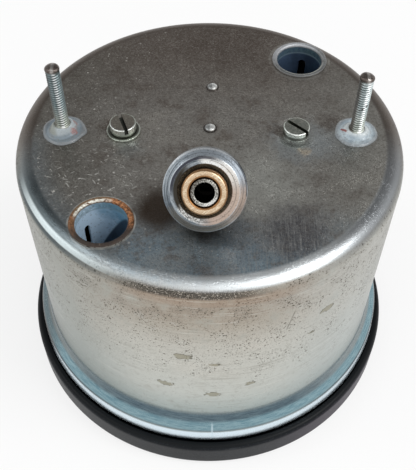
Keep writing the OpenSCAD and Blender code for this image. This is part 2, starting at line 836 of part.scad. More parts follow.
module input_spindle() {
    color("silver") on_drive_axis() difference() {
        union() {
            translate([0, 0, crown_z]) cylinder(h = input_hub_end - crown_z + sink, r = spindle_r);
            translate([0, 0, input_hub_end]) cylinder(h = input_end - input_hub_end, r = input_r);
        }
        translate([0, 0, input_end - socket_depth]) cylinder(h = socket_depth + over, d = socket_d);
        translate([-square_w / 2, -square_w / 2, input_end - socket_depth - square_depth])
            cube([square_w, square_w, square_depth + over]);
    }
}

// Turned boss: a collar for the cable's nut on a neck that fits the gear housing
module drive_boss() {
    color("lightsteelblue") on_drive_axis() difference() {
        union() {
            translate([0, 0, neck_s]) cylinder(h = collar_s - neck_s + sink, r = neck_r);
            translate([0, 0, collar_s])
                cylinder(h = collar_h - collar_chamfer, r = collar_r - undercut_depth);
            translate([0, 0, thread_s]) cylinder(h = face_s - collar_chamfer - thread_s, r = collar_r);
            translate([0, 0, face_s - collar_chamfer])
                cylinder(h = collar_chamfer, r1 = collar_r, r2 = collar_r - collar_chamfer);
        }
        translate([0, 0, neck_s - over]) cylinder(h = face_s - neck_s + 2 * over, r = bush_r + seat_fit);
        translate([0, 0, face_s - recess_depth]) cylinder(h = recess_depth + over, r = bush_r + recess_w);
    }
}

// Die-cast cup under the rear plate that holds the boss, the gears and the two screw lugs
module gear_housing() {
    color("darkgray") difference() {
        union() {
            translate([0, 0, housing_z]) cylinder(h = housing_top - housing_z, r = housing_r);
            intersection() {
                on_drive_axis(neck_s) cylinder(h = 2 * plate_s, r = sleeve_boss_r);
                translate([0, 0, housing_z]) cylinder(h = housing_top - housing_z, r = can_r - lug_r);
            }
            at_pair(case_screw_x, row_y) translate([0, 0, inner_face - lug_h]) cylinder(h = lug_h, r = lug_r);
            for (side = [-1, 1])
                translate([side < 0 ? -case_screw_x : housing_r - over, row_y - lug_web_w / 2,
                    inner_face - lug_h])
                    cube([case_screw_x - housing_r + over, lug_web_w, lug_h - cork_t]);
        }
        difference() {
            translate([0, 0, cavity_z]) cylinder(h = housing_h, r = cavity_r);
            on_drive_axis(neck_s) cylinder(h = 2 * plate_s, r = sleeve_boss_r);
        }
        on_drive_axis(neck_s - over) cylinder(h = 2 * plate_s, r = neck_r + seat_fit);
        translate([0, 0, housing_z - over])
            cylinder(h = housing_floor + 2 * over, r = magnet_bush_r + seat_fit);
        at_pair(case_screw_x, row_y) translate([0, 0, inner_face - lug_h - over])
            cylinder(h = lug_h + 2 * over, r = case_screw_d / 2 + seat_fit);
        at_pillars(-housing_screw_r) translate([0, 0, housing_z - over])
            cylinder(h = screw_grip - 1 + over, d = tapped_d);
    }
}

module housing_gasket() {
    color("tan") translate([0, 0, housing_top]) difference() {
        ring(housing_r, cavity_r, cork_t);
        at_pair(case_screw_x, row_y) translate([0, 0, -over])
            cylinder(h = cork_t + 2 * over, r = lug_r + screw_play);
        translate([0, 0, -housing_top])
            on_drive_axis(neck_s) cylinder(h = 2 * plate_s, r = neck_r + seat_fit);
    }
}

// Sheet sleeve for a lamp holder, riveted in the rear plate, with three slots at its lower end
module lamp_sleeve(side, slot_turn) {
    low = body_h - sleeve_l;
    round_z = body_h - slot_depth - slot_w / 2;
    color("lightblue") at_lamp(side) difference() {
        union() {
            translate([0, 0, low]) cylinder(h = sleeve_l + sink, r = sleeve_r);
            translate([0, 0, body_h]) cylinder(h = sleeve_rim_h, r = sleeve_r + sleeve_rim_w);
        }
        translate([0, 0, low - over]) cylinder(h = sleeve_l + 3 * over, r = lamp_r);
        for (turn = [0, 120, 240]) rotate([0, 0, slot_turn + turn]) {
            translate([0, -slot_w / 2, low - over]) cube([sleeve_r + over, slot_w, round_z - low + over]);
            translate([0, 0, round_z]) rotate([0, 90, 0]) cylinder(h = sleeve_r + over, d = slot_w);
        }
    }
}

module lamp_sleeve_left() {
    lamp_sleeve(-1, left_slot_turn);
}

module lamp_sleeve_right() {
    lamp_sleeve(1, right_slot_turn);
}

// Headed studs that stand up through the rear plate, with chamfered tips
module mounting_studs() {
    tip = 0.6;
    head_t = 1.6;
    head_r = 4.5;
    color("silver") for (side = [-1, 1]) translate([side * stud_x, row_y, 0]) {
        top = body_h + (side < 0 ? left_stud_h : right_stud_h);
        translate([0, 0, inner_face - head_t]) cylinder(h = head_t, r = head_r);
        translate([0, 0, inner_face - sink]) cylinder(h = disc_top - inner_face + sink, r = shank_r);
        translate([0, 0, disc_top - sink]) cylinder(h = top - tip - disc_top + sink, r = stud_r);
        translate([0, 0, top - tip]) cylinder(h = tip, r1 = stud_r, r2 = stud_r - tip);
    }
}

module stud_discs() {
    color("lightgray") at_pair(stud_x, row_y) translate([0, 0, body_h]) {
        ring(disc_d / 2, shank_r + seat_fit, disc_t);
        ring(disc_collar_d / 2, shank_r + seat_fit, disc_t + disc_collar_h);
    }
}

// Two slotted screws that hold the movement; the left one sits on its washer
module case_screws() {
    color("darkkhaki") {
        translate([-case_screw_x, row_y, body_h + washer_t])
            cheese_screw(case_screw_d, lug_h - 1, case_head_d, case_head_h, left_slot_angle);
        translate([case_screw_x, row_y, body_h])
            cheese_screw(case_screw_d, lug_h - 1, case_head_d, case_head_h, right_slot_angle);
    }
}

module screw_washer() {
    color("silver") translate([-case_screw_x, row_y, body_h])
        ring(washer_d / 2, case_clear_r, washer_t);
}

case();
bezel();
glass();
glass_gasket();
light_ring();
dial();
dial_marks();
dial_screws();
dial_posts();
stop_pins();
pointer();
pointer_cap();
pointer_staff();
drag_cup();
hairspring();
hairspring_collet();
hairspring_regulator();
front_plate();
staff_bush();
frame_pillars();
frame_screws();
middle_plate();
housing_screws();
flux_keeper();
magnet();
magnet_carrier();
magnet_spindle();
magnet_bush();
driven_bevel_gear();
input_bevel_gear();
thrust_washer();
inner_bush();
oil_felt();
outer_bush();
input_spindle();
drive_boss();
gear_housing();
housing_gasket();
lamp_sleeve_left();
lamp_sleeve_right();
mounting_studs();
stud_discs();
case_screws();
screw_washer();
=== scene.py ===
# %% [markdown]
# # A mechanical tachometer, lying face down
# The instrument rests on its bezel, so its rear plate faces up, with the cable drive, two lamp
# sleeves, two mounting studs and two screws on it. The imported frame holds every piece at its place.
# This script gives the pieces that show their full form, and each finish its wear and tarnish, and in
# many of them painted light and shade.
# All sizes below are in millimetres and become metres only when a mesh is made.

import math

import bmesh
import bpy
import numpy as np
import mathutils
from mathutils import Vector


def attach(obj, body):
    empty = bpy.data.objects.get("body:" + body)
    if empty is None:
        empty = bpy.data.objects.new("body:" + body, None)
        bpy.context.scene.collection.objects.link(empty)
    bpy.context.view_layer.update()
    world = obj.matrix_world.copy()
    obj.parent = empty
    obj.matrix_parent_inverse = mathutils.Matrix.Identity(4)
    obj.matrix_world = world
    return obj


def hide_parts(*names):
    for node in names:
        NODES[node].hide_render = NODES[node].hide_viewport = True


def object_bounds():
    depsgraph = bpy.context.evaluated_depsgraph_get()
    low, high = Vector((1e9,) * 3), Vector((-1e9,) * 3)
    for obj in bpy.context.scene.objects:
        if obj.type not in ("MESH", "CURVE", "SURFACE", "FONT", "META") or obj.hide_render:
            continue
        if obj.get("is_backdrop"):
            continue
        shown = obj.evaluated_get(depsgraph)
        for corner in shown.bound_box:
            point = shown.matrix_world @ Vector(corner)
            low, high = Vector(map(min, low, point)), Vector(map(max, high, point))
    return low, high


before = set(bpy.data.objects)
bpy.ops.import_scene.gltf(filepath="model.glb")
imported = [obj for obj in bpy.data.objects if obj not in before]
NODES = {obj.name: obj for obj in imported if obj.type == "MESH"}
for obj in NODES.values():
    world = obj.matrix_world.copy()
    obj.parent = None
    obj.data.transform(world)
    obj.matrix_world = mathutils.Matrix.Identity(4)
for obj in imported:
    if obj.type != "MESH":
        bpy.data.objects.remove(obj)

CAD_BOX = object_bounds()
SCENE = bpy.context.scene
print(len(NODES), "CAD nodes, in a box of", [round(s * 1000, 1) for s in CAD_BOX[1] - CAD_BOX[0]])

# %% [markdown]
# ## Sizes that the pieces share
# The drive's axis leans 50 degrees from the plate's normal towards the front, and 2 degrees to
# the left.

# %% Places
MM = 0.001
PLATE_Z, SHEET, CAN_R = 91.0, 1.0, 57.5
APEX_Z, DRIVE_TILT, DRIVE_TURN = 74.8, 50.0, -2.0
LAMP_LEFT, LAMP_RIGHT = (-28.925, -34.472), (28.925, 34.472)
PIPS, PIP_R, PIP_H = ((0.077, 2.199), (0.726, 20.787)), 1.8, 0.8
STUD_X, SCREW_X, ROW_Y = 43.3, 25.6, 0.8
STUDS = ((-STUD_X, ROW_Y, 115.0), (STUD_X, ROW_Y, 112.6))  # x, y, height of the tip
SCREWS = ((-SCREW_X, ROW_Y, 91.6, 110.0), (SCREW_X, ROW_Y, 90.5, 138.0))  # x, y, seat, slot's turn
print("studs", 2 * STUD_X, "mm apart, lamp holes", round(2 * math.hypot(*LAMP_LEFT), 1), "mm apart")

# %% [markdown]
# ## Profiles and grids
# Nearly everything here is turned, spun or rolled. Blender's Screw modifier carries a profile round
# an axis, but a pip, a wavy edge or a thread that fades at its ends doesn't come out of it. A grid
# of points takes them all: its rows follow a profile of (radius, height) points, and its columns go
# round the axis.

# %% Lines, arcs and grids
def line(start, end, count=2):
    """Even steps on a straight line: start + t (end - start), with t from 0 to 1."""
    t = np.linspace(0, 1, count)[:, None]
    return np.array(start, float) * (1 - t) + np.array(end, float) * t


def arc(x, y, radius, first, last, count=8, high=None):
    """Steps on a circle, or an ellipse as high as `high`: centre + (radius cos a, high sin a)."""
    a = np.radians(np.linspace(first, last, count))
    return np.column_stack([x + radius * np.cos(a), y + (high or radius) * np.sin(a)])


def step(x, low, high):
    """Smooth step: 0 below low, 1 above high, and t t (3 - 2 t) between them."""
    t = np.clip((np.asarray(x, float) - low) / (high - low), 0, 1)
    return t * t * (3 - 2 * t)


def circle(columns):
    """Even angles round a circle, in radians: 2 pi k / columns."""
    return np.arange(columns) * 2 * np.pi / columns


def around(r, a, z):
    """Points at radius r, angle a and height z round the z axis: (r cos a, r sin a, z)."""
    r, a, z = np.broadcast_arrays(r, a, z)
    return np.stack([r * np.cos(a), r * np.sin(a), z], axis=-1)


def revolve(profile, columns):
    """Carries a profile, given in parts, round the z axis: a row of the grid for each point."""
    points = np.vstack(profile)
    return around(points[:, :1], circle(columns), points[:, 1:])


print("a cone on 8 columns is a grid of", revolve([(0, 0), (5, 0), (0, 9)], 8).shape)

# %% [markdown]
# ## From a grid to a mesh
# Neighbouring points of a grid share a four-sided face. The columns close in a ring. The rows close
# too where the profile is a loop, as in a tube's wall. Otherwise they end on the axis, where the
# points of a row fall together. Merging such doubles closes the poles, and then the faces are
# turned outwards. Holes could be drawn into the grid, but a slanted one crosses its rows, so they
# are cut with an exact Boolean, whose result becomes the piece's own mesh.

# %% Grids to meshes
def ring_faces(rows, columns, loop):
    """Point numbers of each face: row and column, next column, then the same a row further."""
    i = np.arange(rows if loop else rows - 1)[:, None]
    j = np.arange(columns)[None, :]
    up, side = (i + 1) % rows, (j + 1) % columns
    corners = [i * columns + j, i * columns + side, up * columns + side, up * columns + j]
    return np.stack(corners, axis=2).reshape(-1, 4)


print("a grid of 3 rows and 8 columns has", len(ring_faces(3, 8, False)), "faces")


def solid(name, grids, loop=False):
    """Makes one object of one or more closed grids, given in millimetres."""
    points, faces, count = [], [], 0
    for g in grids:
        faces.append(ring_faces(g.shape[0], g.shape[1], loop) + count)
        points.append(g.reshape(-1, 3) * MM)
        count += len(points[-1])
    mesh = bpy.data.meshes.new(name)
    mesh.from_pydata(np.concatenate(points), [], np.concatenate(faces))
    obj = bpy.data.objects.new(name, mesh)
    SCENE.collection.objects.link(obj)
    close(mesh)
    return obj


def close(mesh):
    """Merges points that lie together, so that poles and seams close, and turns faces outwards."""
    b = bmesh.new()
    b.from_mesh(mesh)
    bmesh.ops.remove_doubles(b, verts=b.verts, dist=1e-7)
    bmesh.ops.recalc_face_normals(b, faces=b.faces)
    b.to_mesh(mesh)
    b.free()


def cut(obj, tool):
    """Takes the tool's room out of obj, and keeps the result as obj's mesh."""
    m = obj.modifiers.new("cut", "BOOLEAN")
    m.operation, m.solver, m.object = "DIFFERENCE", "EXACT", tool
    shaped = obj.evaluated_get(bpy.context.evaluated_depsgraph_get())
    obj.data, old = bpy.data.meshes.new_from_object(shaped), obj.data
    obj.modifiers.clear()
    bpy.data.meshes.remove(old)
    bpy.data.objects.remove(tool)
    return obj


def rod(x, y, radius, low, high, columns=64):
    """A straight rod round the line (x, y), as a grid: centre, rim, rim, centre."""
    return revolve([(0, low), (radius, low), (radius, high), (0, high)], columns) + (x, y, 0)


def rotation(x=0.0, y=0.0, z=0.0):
    """Turns about x, then y, then z, in degrees, as one 3 by 3 matrix."""
    a, b, c = np.radians([x, y, z])
    rx = [[1, 0, 0], [0, math.cos(a), -math.sin(a)], [0, math.sin(a), math.cos(a)]]
    ry = [[math.cos(b), 0, math.sin(b)], [0, 1, 0], [-math.sin(b), 0, math.cos(b)]]
    rz = [[math.cos(c), -math.sin(c), 0], [math.sin(c), math.cos(c), 0], [0, 0, 1]]
    return np.array(rz) @ np.array(ry) @ np.array(rx)


def on_drive(points):
    """Moves points from the drive's own axis to the frame: tilt, turn, then lift to the apex."""
    return points @ rotation(x=DRIVE_TILT, z=DRIVE_TURN).T + (0, 0, APEX_Z)


# %% [markdown]
# ## Shader maths
# A finish is easier to read as a formula than as a net of nodes. `Signal` wraps a socket and gives
# it the signs of arithmetic, so `1 - mask * 0.4` adds two Math nodes. `Finish` holds one material
# and makes every other kind of node through one method. Colours are written as a screen shows them,
# from 0 to 255, and `mix` turns them into linear light.

# %% Signals
class Signal:
    """A socket of one finish. Signals and numbers add, subtract, multiply and divide."""

    def __init__(self, finish, socket):
        self.finish, self.socket = finish, socket

    def maths(self, operation, *values):
        """One Math node on signals and numbers."""
        return self.finish.node("ShaderNodeMath", {"operation": operation}, dict(enumerate(values)))

    def __add__(self, other):
        return self.maths("ADD", self, other)

    def __sub__(self, other):
        return self.maths("SUBTRACT", self, other)

    def __rsub__(self, other):
        return self.maths("SUBTRACT", other, self)

    def __mul__(self, other):
        return self.maths("MULTIPLY", self, other)

    def __truediv__(self, other):
        return self.maths("DIVIDE", self, other)

    def __abs__(self):
        return self.maths("ABSOLUTE", self)

    __radd__, __rmul__ = __add__, __mul__

    def above(self, low, high):
        """0 below low and 1 above high, smooth between them."""
        values = {0: self, 1: low, 2: high, 3: 0.0, 4: 1.0}
        return self.finish.node("ShaderNodeMapRange", {"interpolation_type": "SMOOTHSTEP"}, values)

    def below(self, low, high):
        """1 below low and 0 above high."""
        return 1 - self.above(low, high)

    def band(self, low, high, soft):
        """1 between low and high, fading to 0 over soft on both sides."""
        return self.above(low - soft, low) * self.below(high, high + soft)


# %% Colours and finishes
def ink(red, green, blue):
    """A screen colour of 0 to 255 as linear light: about the power 2.4 of its share of 255."""
    share = np.array([red, green, blue]) / 255
    lit = np.where(share > 0.04045, ((share + 0.055) / 1.055) ** 2.4, share / 12.92)
    return (*(float(v) for v in lit), 1.0)


print("the screen's grey 128 is", round(ink(128, 128, 128)[0], 3), "of white in linear light")


class Finish:
    """One material: a Principled shader, positions in millimetres, and the means to vary it."""

    def __init__(self, name, **constants):
        self.material = bpy.data.materials.new(name)
        self.material.use_nodes = True
        self.tree = self.material.node_tree
        self.shader = self.tree.nodes["Principled BSDF"]
        for socket, value in constants.items():
            self.shader.inputs[socket.replace("_", " ")].default_value = value
        place = self.node("ShaderNodeTexCoord", out="Object")
        self.here = self.vector("MULTIPLY", place, (1000, 1000, 1000))
        self.x, self.y, self.z = self.split(self.here)

    def node(self, kind, settings=None, values=None, out=0):
        """Adds a node of any kind: its settings first, then its sockets' values or links."""
        n = self.tree.nodes.new(kind)
        for key, value in (settings or {}).items():
            setattr(n, key, value)
        for key, value in (values or {}).items():
            if isinstance(value, Signal):
                self.tree.links.new(value.socket, n.inputs[key])
            else:
                n.inputs[key].default_value = value
        return Signal(self, n.outputs[out])

    def vector(self, operation, a, b=(0, 0, 0), out=0):
        """One Vector Math node."""
        return self.node("ShaderNodeVectorMath", {"operation": operation}, {0: a, 1: b}, out)

    def split(self, v):
        """The x, y and z of a vector."""
        n = self.node("ShaderNodeSeparateXYZ", values={0: v}).socket.node
        return [Signal(self, o) for o in n.outputs]

    def join(self, x, y, z):
        """The vector of x, y and z."""
        return self.node("ShaderNodeCombineXYZ", values={0: x, 1: y, 2: z})

    def turned(self, centre=(0, 0, 0), angles=(0, 0, 0)):
        """Positions seen from a frame that stands at centre and is turned by angles, in degrees."""
        values = {"Vector": self.here, "Location": centre, "Rotation": np.radians(angles)}
        return self.node("ShaderNodeMapping", {"vector_type": "TEXTURE"}, values)

    def round_drive(self):
        """Distances right, up and along the drive's own axis, and the distance from that axis."""
        own = self.turned((0, 0, APEX_Z), (DRIVE_TILT, 0, DRIVE_TURN))
        flat = self.vector("MULTIPLY", own, (1, 1, 0))
        return (*self.split(own), self.vector("LENGTH", flat, out="Value"))

    def round(self, x, y, mirrored=False):
        """Distance from the upright line at (x, y), or the nearer one of (x, y) and (-x, y)."""
        here = self.join(abs(self.x), self.y, self.z) if mirrored else self.here
        flat = self.vector("MULTIPLY", self.vector("SUBTRACT", here, (x, y, 0)), (1, 1, 0))
        return self.vector("LENGTH", flat, out="Value")

    def loosened(self, scale, reach):
        """Positions shaken by soft noise, so that a mask's edges wander by up to half of reach."""
        shake = self.vector("SUBTRACT", self.noise(scale, 2, out="Color"), (0.5, 0.5, 0.5))
        return self.vector("ADD", self.here, self.vector("MULTIPLY", shake, (reach, reach, reach)))

    def strokes(self, turn, stretch, low, high, seed=0.0):
        """Short fine scratches that run one way: dots drawn out along one direction."""
        along = self.vector("MULTIPLY", self.turned(angles=(0, 0, turn)), stretch)
        return self.dots(1.0, low, high, at=along, seed=seed)

    def noise(self, scale, detail=3.0, at=None, stretch=None, rough=0.55, out=0):
        """Soft cloudy noise around 0.5, with scale lumps to the millimetre."""
        at = at or self.here
        at = self.vector("MULTIPLY", at, stretch) if stretch else at
        values = {"Vector": at, "Scale": scale, "Detail": detail, "Roughness": rough}
        return self.node("ShaderNodeTexNoise", values=values, out=out)

    def dots(self, scale, low, high, at=None, seed=0.0):
        """Small round spots of uneven size: near the random points of a Voronoi pattern."""
        at = at or self.here
        at = self.vector("ADD", at, (seed, seed * 2, seed * 3)) if seed else at
        n = self.node("ShaderNodeTexVoronoi", values={"Vector": at, "Scale": scale}).socket.node
        chance = self.split(Signal(self, n.outputs["Color"]))[0]
        return (Signal(self, n.outputs["Distance"]) - chance * 0.15).below(low, high)

    def far(self, point, at=None):
        """Distance from a point, in millimetres."""
        return self.vector("DISTANCE", at or self.here, point, "Value")

    def mix(self, mask, a, b):
        """Colour a where the mask is 0, and b where it is 1."""
        a, b = (c if isinstance(c, Signal) else ink(*c) for c in (a, b))
        return self.node("ShaderNodeMix", {"data_type": "RGBA"}, {0: mask, 6: a, 7: b}, 2)

    def coats(self, base, *layers):
        """Lays (mask, colour) pairs over a base colour, one after the other."""
        for mask, colour in layers:
            base = self.mix(mask, base, colour)
        return base

    def set(self, **signals):
        """Links signals to the shader's sockets, whose names have _ in place of a space."""
        for key, value in signals.items():
            self.tree.links.new(value.socket, self.shader.inputs[key.replace("_", " ")])
        return self

    def relief(self, height, depth, strength=1.0):
        """Bumps of the given depth, in millimetres, where height is a signal from 0 to 1."""
        values = {"Height": height, "Distance": depth * MM, "Strength": strength}
        return self.set(Normal=self.node("ShaderNodeBump", values=values))


# %% [markdown]
# ## Putting a piece in its place
# A new piece takes its finish, stands for the CAD node that it replaces, and rides on that node's
# body. It shades smoothly except at its true edges. Splitting the mesh there would do that too, but
# marking the edges as sharp keeps the piece closed.

# %% Fitting
def fit(obj, finish, node, body="instrument", sharp=32):
    """Finishes one new piece and ties it to the frame."""
    obj.data.materials.clear()
    obj.data.materials.append(finish.material)
    obj.data.polygons.foreach_set("use_smooth", np.ones(len(obj.data.polygons), bool))
    obj.data.set_sharp_from_angle(angle=math.radians(sharp))
    if node:
        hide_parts(node)
    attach(obj, body)
    obj.data.calc_loop_triangles()
    print(f"{obj.name}: {len(obj.data.loop_triangles)} triangles, {len(finish.tree.nodes)} shader",
          f"nodes, in place of {node or 'nothing'}")
    return obj


def carry(finish, *nodes):
    """Gives a finish to CAD nodes whose own shape stays."""
    for name in nodes:
        NODES[name].data.materials[0] = finish.material
    print(f"{finish.material.name}, {len(finish.tree.nodes)} shader nodes:", ", ".join(nodes))


# %% [markdown]
# ## The zinc-plated sheet of the can
# The can is one deep-drawn cup of thin steel, plated with zinc. The wall is still pale, with fine
# dark specks that crowd under the rounded edge and a few brown drip stains. It is painted lighter
# to the right and in the middle and darker at the left and the sides, with painted dark blue
# reflections in the hollow and on the shoulder above the mouth, a painted highlight on the bead and
# painted shade in the groove and the gap at the mouth. The rear plate is tarnished to a grey brown,
# with pale specks and scratches and brushed streaks at the front right. A painted brown shadow lies
# left of the drive, the front is painted bluish for a reflection, painted highlights and shadows
# lie round the screws, the studs and the pips, and a painted highlight runs along the rounded edge.
# A painted image could hold all this, but masks in millimetres need no file and stay sharp from
# near by. Noise breaks their edges. Each layer of `coats` is a mask and a colour, and it covers the
# layers before it.

# %% Zinc of the wall
# The middle of each drip stain, and its radius.
DRIPS = (((-7.4, -57.0, 58.9), 2.0), ((33.4, -46.8, 68.9), 1.8), ((1.9, -57.5, 55.3), 1.2),
         ((1.5, -57.5, 37.0), 1.9), ((12.6, -56.1, 41.9), 1.2), ((-13.0, -56.0, 41.4), 1.7),
         ((29.7, -49.2, 60.0), 0.8))


def zinc_wall(f, patch, grain):
    """Colour, roughness, specks, painted light and shade of the side, from the rounded edge to the
    mouth.
    """
    cloud = f.noise(0.035, 4)
    wall = f.mix(f.z.above(34, 84), (186, 193, 189), (178, 169, 156))
    drag = f.noise(1.0, 3, stretch=(0.05, 0.05, 1.7), rough=0.7)
    wall = f.coats(
        wall,
        (cloud.above(0.45, 0.68) * f.z.above(40, 60) * 0.5, (198, 186, 172)),
        (patch.below(0.32, 0.47) * 0.4, (158, 160, 152)),
        (patch.above(0.55, 0.68) * 0.3, (206, 208, 203)),
        (f.z.band(81, 88, 7) * patch.above(0.3, 0.6) * 0.7, (152, 140, 126)),
        # Painted light and shade by side: lighter to the right, darker to the left, a painted
        # highlight in the front middle and painted shade at both far sides.
        (f.x.above(8, 40) * 0.6, (192, 196, 193)),
        (f.x.below(-46, -8) * 0.8, (156, 160, 155)),
        (f.z.band(40, 62, 14) * abs(f.x).below(16, 40) * 0.5, (212, 210, 202)),
        (abs(f.x).above(42, 56) * 0.5, (142, 143, 139)),
        (drag.above(0.55, 0.66) * f.noise(0.06, 2).above(0.42, 0.6) * 0.45, (132, 128, 116)),
        (drag.below(0.32, 0.42) * 0.35, (222, 221, 214)),
        (f.noise(0.5, 4, rough=0.8).above(0.54, 0.64) * 0.22, (134, 132, 122)),
    )
    crowd = f.z.band(62, 88, 26) * (patch.above(0.38, 0.6) * 0.75 + 0.25)
    crowd = crowd + patch.above(0.45, 0.66) * 0.35
    specks = f.dots(1.25, 0.05, 0.24) * crowd + f.dots(2.3, 0.06, 0.27, seed=5) * crowd
    specks = specks + f.dots(0.6, 0.03, 0.14, seed=9) * crowd.above(0.3, 0.7)
    stain, rim, shaken = [], [], f.loosened(0.7, 2.6)
    for point, radius in DRIPS:
        wide = f.vector("MULTIPLY", f.vector("SUBTRACT", shaken, point), (0.62, 0.62, 1.15))
        d = f.vector("LENGTH", wide, out="Value")
        stain.append(d.below(radius * 0.6, radius * 0.9))
        rim.append(abs(d - radius * 0.8).below(0.05, 0.34))
    stain, rim = sum(stain), sum(rim) * f.noise(0.5, 2).above(0.40, 0.56)
    sides = abs(f.x).above(24, 56)
    brush = f.noise(1.0, 4, stretch=(0.25, 0.25, 3.5), rough=0.7).above(0.35, 0.65)
    # Painted dark blue reflections for the hollow bend and the shoulder, broken by brushed streaks.
    hollow = f.mix(brush, (74, 90, 100), (104, 122, 130))
    shoulder = f.mix(brush, (104, 138, 150), (138, 166, 174))
    stroke = abs((f.x - 22.0) - (f.z - 70.0) * 0.2).below(0.05, 0.32)
    stroke = stroke * f.z.band(68.5, 75.5, 1.5) * f.y.below(-40, -30)
    front_mark = abs(f.x - 1.4).below(0.1, 0.5) * f.z.band(13.6, 19.0, 1.6) * f.y.below(-55, -50)
    wall = f.coats(
        wall,
        (specks * 0.75, (92, 86, 74)),
        (stain * 0.7, (142, 137, 114)),
        (rim * 0.85, (86, 82, 64)),
        (stroke * 0.6, (104, 102, 92)),
        # Painted reflections in the hollow and on the shoulder, painted shade in the groove above the
        # bead, a painted highlight on the bead, painted shade in the gap at the mouth, and painted
        # shade at the left of the shoulder and mouth.
        (f.z.band(20.4, 22.4, 3.0) * (1 - sides * 0.5), hollow),
        (f.z.band(18.6, 19.7, 1.1) * 0.9, shoulder),
        (f.z.band(17.85, 18.1, 0.4) * (0.45 + sides * 0.5), (52, 68, 78)),
        (f.z.band(13.2, 17.3, 0.6), (220, 234, 242)),
        (f.z.below(11.8, 13.2), (32, 44, 54)),
        (f.z.below(17.4, 18.4) * f.x.below(-57, -51) * 0.9, (38, 36, 34)),
        (f.z.band(17.8, 20.5, 1.0) * f.x.below(-56, -48) * 0.6, (88, 88, 86)),
        (front_mark * 0.55, (206, 224, 232)),
    )
    gloss = 0.36 + grain * 0.08 + specks * 0.25 - f.z.band(12, 23, 2) * 0.14
    return wall, gloss, specks


